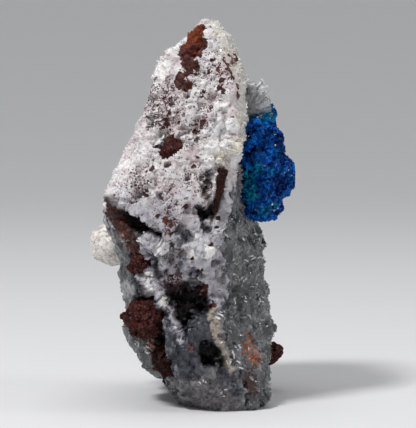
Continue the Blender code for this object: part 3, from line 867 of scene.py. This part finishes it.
def rock_finish():
    """White to pinkish rock with cream, grey and red patches and red-brown crumbs, and painted shade on its
    lower half and in its pits, creases and hollows.
    """
    stone = Finish("zeolite_breccia", Specular_IOR_Level=0.35, Subsurface_Weight=0.1,
                   Subsurface_Radius=(1.0, 0.9, 0.85), Subsurface_Scale=0.4 * MM)
    colour = stone.mix(stone.patches(2.2 * MM, 0.46, 0.66), WHITE_ROCK, PINK_ROCK)
    # Painted shade: the lower half is mixed towards a darker bluish grey, evenly and in patches.
    painted_shade_patches = stone.patches(1.1 * MM, 0.40, 0.58, detail=5.0)
    painted_shade_patches = stone.sum("MULTIPLY", painted_shade_patches, stone.scaled("shade", 0.2, 0.9))
    for share in (stone.scaled("shade", 0.0, 0.5), painted_shade_patches):
        colour = stone.mix(share, colour, PAINTED_SHADE_ROCK)
    druse = stone.mix(stone.patches(2.0 * MM, 0.42, 0.62), CRUST_GREY_AND_SHADE, CRUST_PALE)
    grey = stone.mix(stone.patches(0.7 * MM, 0.45, 0.7, detail=FINE), GREY_ROCK_AND_SHADE, GREY_PALE_AND_SHADE)
    not_slab = stone.sum("MULTIPLY", stone.mask("slab"), 1.5)
    paler = stone.sum("SUBTRACT", stone.patches(1.2 * MM, 0.50, 0.72, detail=FINE), not_slab)
    foot = stone.mix(stone.patches(0.5 * MM, 0.40, 0.62, detail=FINE), FOOT_ROCK, CRUST_PALE)
    lower = stone.mix(stone.mask("foot"), stone.mix(paler, grey, PAINTED_SHADE_ROCK), foot)
    ragged = stone.ragged()
    for name, tint in (("clean", CLEAN_ROCK), ("grey", lower), ("edge", druse), ("cream", CREAM_ROCK),
                       ("seam", SEAM_ROCK)):
        colour = stone.mix(stone.torn(name, ragged, 0.3, 0.7), colour, tint)
    # Painted shade in the pits of the relief.
    colour = stone.mix(stone.scaled("pits", 0.0, 0.7), colour, PAINTED_PIT_SHADE)
    # Painted shade: the hollows, gaps and creases go near black.
    colour = stone.mix(stone.scaled("deep", 0.0, 1.0), colour, PAINTED_HOLLOW_SHADE)
    stone.set(Base_Color=add_reds(stone, colour), Roughness=stone.scaled("low", 0.6, 0.34))
    stone.bump(stone.sum("ADD", stone.cells(0.22 * MM), stone.clouds(0.3 * MM)), 0.12 * MM)
    return stone


rock_look = rock_finish()
hand_over(rock, rock_look, "zeolite_breccia", "matrix_rock")

# %% [markdown]
# ## Grains on the rock
# Broken zeolite is sugary: small crystal grains stand out of the face all over. They are blocks of a tenth
# to a third of a millimetre, in patches, joined in one mesh. They take the rock's own finish, so the masks
# are laid out on them too.

# %% Sprinkle the grains
GRAINS = 7000
GRAIN_SIZES = (0.10, 0.30)
GRAIN_SHAPE = dict(depths=(0.6, 1.0), heights=(0.7, 1.2), sunk=0.45, lean=0.6)


def sprinkle_grains():
    """Small blocks in patches all over the rock."""
    rolls = np.random.default_rng(7)
    middles = table(rock.data.polygons, "center")
    patchy = smooth_step(relief(middles, ((swell, 2.4 * MM, 1.0),)), -0.3, 0.3)
    return joined("rock_grains", [
        stand_on(rock.data, BLOCK, GRAINS, 0.15 + patchy, rolls, GRAIN_SIZES, **GRAIN_SHAPE)])


grains = sprinkle_grains()
lay_out_patches(grains)
mark_crust_edge(grains)
hand_over(grains, rock_look, "zeolite_breccia", "matrix_rock")

# %% [markdown]
# ## Grey crystal crusts
# A crust is a skin of intergrown clear to grey crystals. Its base is made as the rock's is, from lumps and
# faceted noise, and its single crystals stand on it as one joined mesh. Both let light through. High up,
# the right crust is cream to white, so the crystals there are a mesh of their own with a milky finish.

# %% Shape the crusts
CRUST_FACE = 0.33 * MM
CRUST_CREASE = 34
CRUST_STEPS = ((260, 226, 2.0), (265, 234, 2.4), (270, 243, 2.4), (266, 252, 1.6))
CRUST_LUMPS = (
    (140, 338, 2.4), (141, 346, 2.6), (146, 354, 2.6), (151, 362, 2.6), (157, 371, 2.4), (163, 381, 2.2),
    (128, 330, 1.8), (136, 347, 2.4), (142, 358, 2.4), (150, 369, 2.4), (157, 380, 2.2),
)
CRUST_STEP = 1.5 * MM
CRUST_LUMP = 1.7 * MM
THIN_TOP = 0.35 * MM
FAN_COLLAR = 0.45 * MM
FAN_COLLAR_REACH = 1.2 * MM
CRUST_LAYERS = (
    (swell, 2.2 * MM, 0.30 * MM),
    (facet, 1.6 * MM, 0.40 * MM),
    (grain, 0.9 * MM, 0.26 * MM),
    (facet, 0.6 * MM, 0.16 * MM),
)


def shape_crust(node_name, piece_name):
    """A crust with lumps and faceted relief, thinner high up."""
    piece = finely_meshed(node_name, piece_name, CRUST_FACE)
    points, normals = places_of(piece.data)
    low = lowness(points, CREAM_FROM)
    height = (GAP_FILL + relief(points, CRUST_LAYERS)) * (0.6 + 0.4 * low) - THIN_TOP * (1 - low)
    height -= CRUST_STEP * smooth_step(nearness(points, CRUST_STEPS), 0, 0.6)
    height += CRUST_LUMP * smooth_step(nearness(points, CRUST_LUMPS), 0, 0.7)
    height += FAN_COLLAR * smooth_step(closeness(points, "stilbite_fan", FAN_COLLAR_REACH), 0, 0.6)
    return raise_surface(piece, points, normals, height, CRUST_CREASE)


right_crust = shape_crust("druse_crust_right", "right_crust")
left_crust = shape_crust("druse_crust_left", "left_crust")
print("the crusts have", len(right_crust.data.polygons), "and", len(left_crust.data.polygons), "faces")

# %% Stain the right crust
STAIN_LINES = (
    ((246, 333), (250, 342), (254, 352), (263, 364)), ((253, 350), (243, 344)), ((253, 350), (241, 352)),
    ((254, 354), (245, 361)), ((255, 355), (251, 366)), ((255, 355), (257, 368)), ((254, 352), (262, 355)),
    ((252, 348), (260, 346)), ((251, 345), (257, 338)), ((250, 342), (242, 338)), ((249, 340), (251, 333)),
)
STAIN_MARKS = ((250, 342, 1.2), (254, 353, 1.8), (257, 360, 1.4))
STAIN_REACH = 0.5 * MM
LEFT_OF = -8 * MM
LEFT_CREAM_FROM = 24.5 * MM
CRUST_RED_MARKS = ((251, 383, 1.4), (249, 374, 1.1), (254, 391, 1.1), (233, 390, 0.9), (238, 394, 0.8),
                   (270, 303, 0.6), (236, 372, 0.6))


def stain_crust(piece):
    """Stores the masks of the orange spray, of the red spots and of the cream upper part."""
    points, _ = places_of(piece.data)
    spray = smooth_step(line_nearness(points, STAIN_LINES, STAIN_REACH), 0.1, 0.9)
    blob = smooth_step(nearness(points, STAIN_MARKS), 0, 0.6)
    patchy = 0.6 * smooth_step(relief(points, ((swell, 3.0 * MM, 1.0), (swell, 1.2 * MM, 0.5))), -0.1, 0.4)
    left_high = (1 - lowness(points, LEFT_CREAM_FROM)) * patchy
    store(piece, orange=np.maximum(0.9 * spray, 0.42 * blob), spots=patch(points, CRUST_RED_MARKS, 0.08, 0.4),
          high=np.where(points[:, 0] < LEFT_OF, left_high, 1 - lowness(points, CREAM_FROM)))


def lay_out_crust(piece):
    """Stores all the masks that the crusts' finish reads. The crusts have specks only high up."""
    lay_out_patches(piece)
    points, _ = places_of(piece.data)
    near = np.maximum(nearness(points, SPECK_MARKS), nearness(points, DENSE_MARKS))
    store(piece, specks=0.55 * (1 - lowness(points, CREAM_FROM)) * smooth_step(near, 0, 0.6))
    stain_crust(piece)


# %% The crusts' finish
STAIN_ORANGE = (0.34, 0.085, 0.024, 1)
GLASSY_WHITE = (0.62, 0.62, 0.63, 1)


def crust_finish(name, clearness, rough):
    """Grey glassy crust, its grey partly painted shade, paler in patches and cream high up, with an orange
    spray and red spots.

    Where the seam, the spray or a spot lies, it isn't see-through."""
    crust = Finish(name, Roughness=rough, IOR=1.52)
    colour = crust.mix(crust.patches(2.4 * MM, 0.40, 0.66, detail=FINE), CRUST_GREY_AND_SHADE, CRUST_PALE)
    colour = crust.mix(crust.crumbs(0.45 * MM, 0.3), colour, CRUST_PALE)
    colour = crust.mix(crust.scaled("clean", 0.0, 0.7), colour, GLASSY_WHITE)
    milky = crust.mix(crust.patches(1.2 * MM, 0.4, 0.6), CREAM_ROCK, CLEAN_ROCK)
    colour = crust.mix(crust.sum("MAXIMUM", crust.mask("high"), crust.mask("cream")), colour, milky)
    ragged = crust.patches(0.22 * MM, 0.35, 0.65, -0.1, 0.35, FINE)
    solid = 0.0
    for mask, tint in (("seam", SEAM_ROCK), ("orange", STAIN_ORANGE), ("spots", DARK_RED)):
        edge = crust.torn(mask, ragged, 0.4, 0.7)
        colour = crust.mix(edge, colour, tint)
        solid = crust.sum("MAXIMUM", solid, edge)
    crust.set(Transmission_Weight=crust.between(solid, 0.0, 1.0, clearness, 0.0),
              Base_Color=add_reds(crust, colour, 0.40))
    crust.bump(crust.sum("ADD", crust.cells(0.3 * MM), crust.clouds(0.2 * MM)), 0.08 * MM)
    return crust


crust_look = crust_finish("grey_druse", 0.35, 0.16)
for piece, node_name in ((right_crust, "druse_crust_right"), (left_crust, "druse_crust_left")):
    lay_out_crust(piece)
    hand_over(piece, crust_look, "grey_druse", node_name)

# %% Grow single crystals on the crusts
CRYSTAL_SIZES = (0.16, 0.42)
CRYSTAL_SHAPE = dict(depths=(0.5, 1.0), heights=(0.8, 1.3), sunk=0.55, lean=0.4)
CLEAR_WHITE = (0.95, 0.95, 0.96, 1)
DRUSE_TINT = (0.80, 0.81, 0.84, 1)
RIGHT_WAY = (0.75, -0.65, 0.1)
LEFT_WAY = (-0.75, -0.65, 0.1)
RIGHT_CRYSTALS = 2200
LEFT_CRYSTALS = 900
MILKY_CRYSTALS = 1100


def outward_chance(piece, direction):
    """A weight for each face: 1 where it looks along a direction, and 0 where it looks away."""
    return smooth_step(table(piece.data.polygons, "normal") @ np.array(direction), 0.0, 0.4)


def grow_crystals(name, piece, chance, count, seed):
    """Blocks and low pointed crystals that stand on a crust."""
    rolls = np.random.default_rng(seed)
    return joined(name, [
        stand_on(piece.data, shape, int(count * share), chance, rolls, CRYSTAL_SIZES, **CRYSTAL_SHAPE)
        for shape, share in ((BLOCK, 0.75), (POINT, 0.25))])


def clear_finish(name, tint, rough, clearness=0.92):
    """Clear crystal: see-through, with the refraction of a zeolite."""
    clear = Finish(name, Roughness=rough, IOR=1.5, Transmission_Weight=clearness)
    clear.set(Base_Color=clear.mix(clear.patches(1.5 * MM, 0.4, 0.6), tint, CLEAR_WHITE))
    return clear


clear_look = clear_finish("clear_druse", DRUSE_TINT, 0.05)
high_share = 1 - lowness(table(right_crust.data.polygons, "center"), CREAM_FROM)
right_facing = outward_chance(right_crust, RIGHT_WAY)
left_facing = outward_chance(left_crust, LEFT_WAY)
low_chance = right_facing * (1 - high_share)
right_crystals = grow_crystals("right_crystals", right_crust, low_chance, RIGHT_CRYSTALS, 11)
left_crystals = grow_crystals("left_crystals", left_crust, left_facing, LEFT_CRYSTALS, 12)
hand_over(right_crystals, clear_look, "grey_druse", "druse_crust_right")
hand_over(left_crystals, clear_look, "grey_druse", "druse_crust_left")
high_chance = right_facing * high_share
milky_crystals = grow_crystals("milky_crystals", right_crust, high_chance, MILKY_CRYSTALS, 13)
lay_out_crust(milky_crystals)
hand_over(milky_crystals, crust_finish("milky_druse", 0.15, 0.2), "grey_druse", "druse_crust_right")

# %% [markdown]
# ## White blades and painted glints on the druse
# A few longer, flat, white blades lie on the grey druse where it glints. They are real blades, and their
# near-white colour is in part a painted highlight. Each group is named by the pixel where it shows, and its
# blades lie almost flat on the surface there, most of them the same way.

# %% Lay the bright blades
# Each group is the pixel across and down, the blades in it, their length in millimetres and their slope.
GLINT_BLADE_GROUPS = (
    (250, 258, 3, 1.5, 55), (259, 255, 2, 1.0, 20), (261, 302, 5, 0.8, -30), (270, 303, 2, 0.6, 60),
    (219, 315, 3, 1.3, 10), (245, 317, 3, 1.1, -20), (233, 354, 3, 0.9, 65), (230, 363, 2, 0.9, 40),
    (238, 346, 4, 0.7, -40), (272, 384, 6, 1.2, -50), (225, 341, 2, 0.7, 20), (239, 365, 2, 0.7, 20),
    (219, 228, 4, 0.8, 35), (225, 236, 3, 0.7, -30), (214, 222, 3, 0.6, 70), (139, 241, 3, 1.5, -20),
    (136, 343, 3, 0.9, 10), (147, 352, 4, 0.7, 50), (118, 266, 4, 0.8, 30), (222, 394, 5, 0.8, 0),
    (203, 382, 4, 0.6, 20), (232, 122, 2, 0.6, 30), (258, 115, 5, 0.6, 20), (267, 113, 5, 0.6, -30),
    (272, 119, 3, 0.5, 60), (252, 119, 3, 0.5, 0), (240, 280, 5, 0.5, 30), (255, 285, 4, 0.5, -20),
    (234, 262, 4, 0.5, 70), (262, 322, 4, 0.6, 10), (268, 342, 4, 0.6, -60), (246, 300, 4, 0.5, 50),
)


# How far the blades of a group stray: in pixels, and in degrees of their slope.
BRIGHT_SPREAD = 2.0
SLOPE_SPREAD = 45
BRIGHT_RISE = 0.08 * MM
# A near-white that is in part a painted highlight.
GLINT_WHITE = (0.9, 0.9, 0.92, 1)


def lay_glint_blades():
    """Groups of flat white blades, whose white is in part a painted highlight, each near its own named place
    on the finished surface.
    """
    rolls = np.random.default_rng(17)
    dressed = search_tree([rock, right_crust, left_crust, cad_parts["cavansite_cluster"]])
    feet, ways, sizes = [], [], []
    for across, down, many, long, slope in GLINT_BLADE_GROUPS:
        for _ in range(many):
            dx, dy = rolls.normal(0, BRIGHT_SPREAD, 2)
            foot, normal = seen_with_normal(across + dx, down + dy, dressed)
            turn = math.radians(slope + rolls.normal(0, SLOPE_SPREAD))
            way = np.array([math.cos(turn), 0, math.sin(turn)])
            way -= normal * (way @ normal)
            way = way / np.linalg.norm(way) + normal * rolls.uniform(0.1, 0.45)
            length = long * rolls.uniform(0.5, 1.1)
            feet.append(foot + normal * BRIGHT_RISE - way * 0.3 * length * MM)
            ways.append(way)
            sizes.append([0.3 * length, 0.16 + 0.08 * length, length])
    sizes = np.array(sizes) * MM
    return joined("glint_blades", [crystals(BLADE, np.array(feet), np.array(ways), sizes, rolls)])


# White blades, their white in part a painted highlight.
glint_look = clear_finish("glint_blades", GLINT_WHITE, 0.08, 0.35)
hand_over(lay_glint_blades(), glint_look, "grey_druse", "druse_crust_right")

# %% [markdown]
# ## The blue cluster
# Cavansite grows as balls of fine blades that all start from one point. Here small sprays of blades cover a
# few large balls, whose middles and reaches are those of the solid. The blades are real geometry, because
# their tips give the cluster its grain and its outline. A dark core fills the space between them.

# %% Name the balls of the cluster
ROSETTES = (
    ((5.2, -1.5, 43.4), 2.7),
    ((5.5, -2.0, 40.2), 3.7),
    ((6.5, -2.5, 35.5), 4.4),
    ((4.8, -6.0, 37.8), 3.3),
    ((4.8, -5.6, 33.6), 3.2),
    ((5.8, 2.2, 38.4), 3.7),
    ((6.1, 1.6, 34.0), 3.3),
    ((6.0, -2.4, 30.6), 2.7),
    ((6.4, -0.8, 45.3), 1.7),
    ((5.0, 4.4, 41.0), 2.3),
    ((4.7, -4.6, 41.6), 2.3),
    ((5.0, 4.6, 36.0), 2.4),
    ((4.5, -5.2, 30.8), 2.0),
    ((4.4, -6.2, 42.4), 2.2),
    ((3.9, -7.0, 39.4), 2.2),
)
SPRAY_SPACING = 1.05 * MM
BLADES_IN_SPRAY = 27
BLADE_LENGTH = 0.95 * MM
BLADE_WIDTHS = (0.24 * MM, 0.46 * MM)
BLADE_THICKNESSES = (0.10 * MM, 0.20 * MM)
SUNK_LENGTH = 0.85 * BLADE_LENGTH
BURIED_WITHIN = 0.86
LUMP_SHIFT = 0.75 * MM
BLADE_LEAN = 0.8
GOLDEN_ANGLE = math.pi * (3 - math.sqrt(5))


def even_directions(count):
    """Directions spread evenly over a ball, along a spiral."""
    height = 1 - 2 * (np.arange(count) + 0.5) / count
    angle = GOLDEN_ANGLE * np.arange(count)
    flat = np.sqrt(1 - height ** 2)
    return np.stack([flat * np.cos(angle), flat * np.sin(angle), height], axis=1)


def spray_roots():
    """Where each spray starts and which way it points, on the parts of the balls outside the others."""
    balls = [(np.array(middle) * MM, reach * MM) for middle, reach in ROSETTES]
    roots = []
    ways = []
    for number, (middle, reach) in enumerate(balls):
        radius = reach - SUNK_LENGTH
        others = balls[:number] + balls[number + 1:]
        for way in even_directions(int(4 * math.pi * radius ** 2 / SPRAY_SPACING ** 2)):
            root = middle + way * radius
            if not any(np.linalg.norm(root - other) < BURIED_WITHIN * size for other, size in others):
                roots.append(root)
                ways.append(way)
    return np.array(roots), np.array(ways)


spray_feet, spray_ways = spray_roots()
print("the cluster has", len(spray_feet), "sprays of", BLADES_IN_SPRAY, "blades")


# %% Grow the blades
CORE_FACE = 0.35 * MM
CORE_DEPTH = 0.75 * MM
CORE_LAYERS = ((facet, 0.9 * MM, 0.3 * MM), (grain, 0.6 * MM, 0.3 * MM))


def grow_blue_blades():
    """Sprays of flat blades, each with its own lean, width and length."""
    rolls = np.random.default_rng(21)
    feet = np.repeat(spray_feet, BLADES_IN_SPRAY, axis=0)
    ways = np.repeat(spray_ways, BLADES_IN_SPRAY, axis=0)
    many = len(feet)
    lumps = np.repeat(relief(spray_feet, ((swell, 1.9 * MM, 1.0),)), BLADES_IN_SPRAY)
    feet += ways * (LUMP_SHIFT * np.clip(lumps, -0.7, 0.5))[:, None]
    ways = leaning(ways, BLADE_LEAN, rolls)
    long = BLADE_LENGTH * rolls.uniform(0.75, 1.0, many)
    sizes = [rolls.uniform(*BLADE_WIDTHS, many), rolls.uniform(*BLADE_THICKNESSES, many), long]
    sizes = np.stack(sizes, axis=1)
    return joined("blue_blades", [crystals(BLADE, feet, ways, sizes, rolls)])


def blue_core():
    """The dark inside of the cluster, a little smaller than the solid."""
    piece = finely_meshed("cavansite_cluster", "blue_core", CORE_FACE)
    points, normals = places_of(piece.data)
    return raise_surface(piece, points, normals, relief(points, CORE_LAYERS) - CORE_DEPTH)


# %% The blue finish
DEEP_BLUE = (0.0, 0.016, 0.13, 1)
BRIGHT_BLUE = (0.0, 0.16, 0.62, 1)
TEAL = (0.003, 0.30, 0.46, 1)
TEAL_MARKS = (
    (262, 113, 2.4), (270, 116, 1.6), (253, 116, 1.4), (248, 186, 1.8), (250, 174, 1.6), (270, 205, 1.4),
    (276, 150, 1.0), (252, 196, 1.6), (262, 212, 1.2), (258, 168, 1.2), (270, 171, 1.0),
)


def blue_finish():
    """Saturated blue with paler and teal patches and glassy faces."""
    blue = Finish("cavansite_blue", Roughness=0.34, IOR=1.55, Specular_IOR_Level=0.16)
    fine = blue.sum("MULTIPLY", blue.clouds(0.6 * MM, FINE), 0.5)
    patches = blue.sum("MULTIPLY_ADD", blue.clouds(2.4 * MM), 0.5, fine)
    colour = blue.mix(blue.between(patches, 0.42, 0.60), DEEP_BLUE, BRIGHT_BLUE)
    teal = blue.sum("MULTIPLY", blue.mask("teal"), blue.patches(0.8 * MM, 0.38, 0.56, detail=5.0))
    blue.set(Base_Color=blue.mix(teal, colour, TEAL))
    return blue


blue_look = blue_finish()
for piece in (grow_blue_blades(), blue_core()):
    store(piece, teal=smooth_step(nearness(places_of(piece.data)[0], TEAL_MARKS), 0.05, 0.5))
    hand_over(piece, blue_look, "cavansite_blue", "cavansite_cluster")

# %% [markdown]
# ## The clear fan
# Above the blue cluster stands a bundle of clear stilbite blades, grown out of one root like a wheat sheaf.
# A lumpy faceted core, which is milky inside, carries thick clear blades whose slanting ends make crisp
# highlights.

# %% Grow the fan
FAN_BLADES = 34
FAN_ROOT = np.array([3.1, -3.4, 45.6]) * MM
FAN_WIDTHS = (1.3, 2.1)
FAN_THICKNESSES = (0.9, 1.4)
FAN_LONGEST = 5.4 * MM
FAN_NARROWER = 0.9
FAN_FACE = 0.2 * MM
FAN_CREASE = 30
FAN_LAYERS = ((facet, 2.0 * MM, 0.7 * MM),)
FAN_CORE_DEPTH = 0.25 * MM
FAN_FOOT = 0.7 * MM
FAN_FOOT_REACH = 1.5 * MM
FAN_TINT = (0.95, 0.95, 0.97, 1)
MILKY_TINT = (0.84, 0.85, 0.88, 1)
ALMOST_ZERO = 1e-6
fan_low, fan_high = (np.array(corner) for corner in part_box("stilbite_fan"))


def fan_core():
    """The milky middle of the fan, wider where it meets the crust."""
    piece = finely_meshed("stilbite_fan", "fan_core", FAN_FACE, 8)
    points, normals = places_of(piece.data)
    points[:, 0] = fan_low[0] + FAN_NARROWER * (points[:, 0] - fan_low[0])
    height = relief(points, FAN_LAYERS) - FAN_CORE_DEPTH
    height += FAN_FOOT * smooth_step(closeness(points, "druse_crust_right", FAN_FOOT_REACH), 0, 0.8)
    return raise_surface(piece, points, normals, height, FAN_CREASE)


def grow_fan():
    """Thick clear blades from one root, whose blunt tips fill the fan's own box."""
    rolls = np.random.default_rng(31)
    ways = even_directions(FAN_BLADES * 3)
    ways = ways[(ways[:, 2] > 0.1) & (ways[:, 0] > -0.35)][:FAN_BLADES]
    reach = np.where(ways > 0, (fan_high - FAN_ROOT) / np.maximum(ways, ALMOST_ZERO),
                     (fan_low - FAN_ROOT) / np.minimum(ways, -ALMOST_ZERO))
    many = len(ways)
    long = np.minimum(reach.min(axis=1), FAN_LONGEST) * rolls.uniform(0.75, 0.92, many)
    sizes = [rolls.uniform(*FAN_WIDTHS, many) * MM, rolls.uniform(*FAN_THICKNESSES, many) * MM, long]
    sizes = np.stack(sizes, axis=1)
    feet = np.repeat(FAN_ROOT[None], many, axis=0)
    return joined("clear_fan", [crystals(BLOCK, feet, ways, sizes, rolls)])


for piece, name, tint, rough, clearness in (
        (grow_fan(), "clear_stilbite", FAN_TINT, 0.04, 0.8),
        (fan_core(), "milky_stilbite", MILKY_TINT, 0.08, 0.35)):
    hand_over(piece, clear_finish(name, tint, rough, clearness), "clear_stilbite", "stilbite_fan")

# %% [markdown]
# ## The cream ball
# The ball on the left is a rounded cluster of pearly stilbite blades, packed so closely that only their
# ends show. A softly lobed base carries short broad blades that are sunk in it, so only their edges stand
# out.

# %% Grow the ball
BALL_FACE = 0.22 * MM
BALL_DEPTH = 0.05 * MM
BALL_LAYERS = ((swell, 2.2 * MM, 0.5 * MM), (facet, 1.2 * MM, 0.2 * MM))
BALL_BLADES = 700
# The ranges of the blades' widths, thicknesses and lengths, in millimetres.
BALL_BLADE_SIZES = ((0.4, 0.8), (0.14, 0.26), (0.5, 0.7))
BALL_BLADES_SUNK = 0.48 * MM
CREAM_LIGHT = (0.80, 0.76, 0.71, 1)
CREAM_DEEP = (0.70, 0.65, 0.60, 1)


def grow_ball():
    """The ball's base and the ends of its blades."""
    base = finely_meshed("stilbite_ball", "cream_ball", BALL_FACE, 4)
    points, normals = places_of(base.data)
    raise_surface(base, points, normals, relief(points, BALL_LAYERS) - BALL_DEPTH)
    rolls = np.random.default_rng(41)
    feet, ways = scatter(base.data, BALL_BLADES, np.ones(len(base.data.polygons)), rolls)
    sizes = np.stack([rolls.uniform(low, high, BALL_BLADES) for low, high in BALL_BLADE_SIZES], axis=1) * MM
    feet -= ways * BALL_BLADES_SUNK
    return base, joined("cream_blades", [crystals(BLADE, feet, leaning(ways, 0.2, rolls), sizes, rolls)])


def cream_finish():
    """Pearly cream, a little see-through at its edges."""
    cream = Finish("cream_stilbite", Roughness=0.42, Subsurface_Weight=0.25,
                   Subsurface_Radius=(1.0, 0.85, 0.7), Subsurface_Scale=0.6 * MM)
    cream.set(Base_Color=cream.mix(cream.patches(1.6 * MM, 0.4, 0.6), CREAM_LIGHT, CREAM_DEEP))
    cream.bump(cream.clouds(0.25 * MM), 0.05 * MM)
    return cream


cream_look = cream_finish()
for piece in grow_ball():
    hand_over(piece, cream_look, "cream_stilbite", "stilbite_ball")

# %% [markdown]
# ## Red-brown fragments
# The fragments are altered basalt, rough and dull, with small glassy grains. The one at the top goes from
# orange at its tip to purple at its foot, so its mask follows the height.

# %% Shape the fragments
CLAST_FACE = 0.16 * MM
CLAST_CREASE = 40
PLATE_RELIEF = 0.25
PLATE_LEAN = math.tan(math.radians(11))
PLATE_WIDTHS = (0.45, 1.1)
CLAST_LAYERS = (
    (swell, 1.9 * MM, 0.70 * MM),
    (facet, 1.1 * MM, 0.60 * MM),
    (grain, 0.45 * MM, 0.22 * MM),
    (facet, 0.4 * MM, 0.16 * MM),
)


def taper_plate(points):
    """Narrows the leaning plate towards its foot."""
    low, high = points[:, 2].min(), points[:, 2].max()
    axis = points[:, 0].mean() + PLATE_LEAN * (points[:, 2] - points[:, 2].mean())
    points[:, 0] = axis + (points[:, 0] - axis) * np.interp(points[:, 2], (low, high), PLATE_WIDTHS)


def shape_clast(node_name):
    """One fragment with its rough relief and its mask of height, 0 at its foot and 1 at its tip."""
    piece = finely_meshed(node_name, node_name.replace("red", "brown"), CLAST_FACE, 3)
    points, normals = places_of(piece.data)
    if node_name == "red_plate":
        taper_plate(points)
        height = PLATE_RELIEF * relief(points, CLAST_LAYERS)
    else:
        height = GAP_FILL + relief(points, CLAST_LAYERS)
    low, high = points[:, 2].min(), points[:, 2].max()
    store(piece, height=(points[:, 2] - low) / (high - low))
    return raise_surface(piece, points, normals, height, CLAST_CREASE)


# %% The fragments' finish
FROST = (0.24, 0.13, 0.13, 1)


def clast_finish(name, foot, tip, frost):
    """Dull red-brown with paler crumbs. Foot and tip are each a dark and a light colour."""
    clast = Finish(name, Roughness=0.6, Specular_IOR_Level=0.1)
    patches = clast.patches(0.7 * MM, 0.4, 0.64, detail=FINE)
    wavy_height = clast.sum("ADD", clast.mask("height"), clast.patches(1.5 * MM, 0.3, 0.7, -0.2, 0.2))
    rise = clast.between(wavy_height, 0.35, 0.65)
    colour = clast.mix(rise, clast.mix(patches, *foot), clast.mix(patches, *tip))
    clast.set(Base_Color=clast.mix(clast.sum("MULTIPLY", clast.crumbs(0.26 * MM, 0.5), frost), colour, FROST))
    clast.bump(clast.cells(0.2 * MM), 0.1 * MM)
    return clast


# The plate and the low fragment: their own dark brown, darkened further as painted shade.
DARK_BROWN_AND_SHADE = ((0.010, 0.003, 0.0025, 1), (0.034, 0.008, 0.005, 1))
BROWN = ((0.016, 0.004, 0.004, 1), (0.075, 0.016, 0.012, 1))
PURPLE = ((0.040, 0.010, 0.010, 1), (0.12, 0.045, 0.050, 1))
ORANGE = ((0.08, 0.017, 0.008, 1), (0.25, 0.055, 0.017, 1))
shaded_plate_look = clast_finish("dark_plate_and_shade", DARK_BROWN_AND_SHADE, DARK_BROWN_AND_SHADE, 0.12)
brown_look = clast_finish("red_brown_clast", BROWN, BROWN, 0.35)
orange_look = clast_finish("orange_clast", PURPLE, ORANGE, 0.3)
OWN_LOOKS = {"red_clast_top": orange_look, "red_plate": shaded_plate_look, "red_clast_low": shaded_plate_look}
for node_name in (*COLLARED, "red_clast_top", "red_plate"):
    hand_over(shape_clast(node_name), OWN_LOOKS.get(node_name, brown_look), "red_brown_clast", node_name)

# %% [markdown]
# ## Floor and light
# The stone stands in a wide pale bowl: a flat floor that curves up to a wall, turned from one profile, so
# that no horizon shows from any side. A large panel overhead gives soft light, and a smaller one at the
# upper left in front makes the upper face bright, while the lower half lies in the shade of its brow, as in
# the photo.

# %% Turn the floor
FLOOR_RADIUS = 0.45
BEND_RADIUS = 1.6
WALL_HEIGHT = 2.6
BEND_STEPS = 24
FLOOR_SIDES = 96
FLOOR_GREY = (0.72, 0.72, 0.73, 1)


def add_floor():
    """A pale floor whose edge bends up into a round wall."""
    bend = [math.radians(90) * step / BEND_STEPS for step in range(BEND_STEPS + 1)]
    profile = [(0.0, 0.0)]
    profile += [(FLOOR_RADIUS + BEND_RADIUS * math.sin(turn), BEND_RADIUS * (1 - math.cos(turn)))
                for turn in bend]
    profile.append((FLOOR_RADIUS + BEND_RADIUS, WALL_HEIGHT))
    shape = bmesh.new()
    line = [shape.verts.new((out, 0, up)) for out, up in profile]
    edges = [shape.edges.new(pair) for pair in zip(line, line[1:])]
    bmesh.ops.spin(shape, geom=line + edges, cent=(0, 0, 0), axis=(0, 0, 1), angle=math.tau,
                   steps=FLOOR_SIDES)
    bmesh.ops.remove_doubles(shape, verts=shape.verts, dist=0.1 * MM)
    mesh = bpy.data.meshes.new("floor")
    shape.to_mesh(mesh)
    shape.free()
    mesh.shade_smooth()
    mesh.materials.append(Finish("floor", Base_Color=FLOOR_GREY, Roughness=0.8).material)
    floor = add_object("floor", mesh)


add_floor()


# %% Set the lights
# Each light is its name, its place and its width in metres, and its power in watts.
LIGHTS = (
    ("overhead_panel", (0.0, 0.0, 2.2), 1.6, 16.0),
    ("main_light", (-0.22, -0.24, 0.48), 0.09, 2.3),
    ("side_light", (0.42, -0.05, 0.16), 0.12, 0.45),
)
SKY = (0.80, 0.82, 0.86, 1)
SKY_STRENGTH = 0.15


def add_light(name, place, size, power):
    """A square soft light that looks at the specimen."""
    lamp = bpy.data.lights.new(name, "AREA")
    lamp.size = size
    lamp.energy = power
    light = add_object(name, lamp)
    light.location = Vector(place)
    light.rotation_euler = (AIM - light.location).to_track_quat("-Z", "Y").to_euler()


for row in LIGHTS:
    add_light(*row)
world = bpy.data.worlds.new("studio")
world.use_nodes = True
sky = world.node_tree.nodes["Background"].inputs
sky["Color"].default_value = SKY
sky["Strength"].default_value = SKY_STRENGTH
bpy.context.scene.world = world
bpy.context.scene.view_settings.view_transform = "Standard"
print("the floor and", len(LIGHTS), "lights are set")
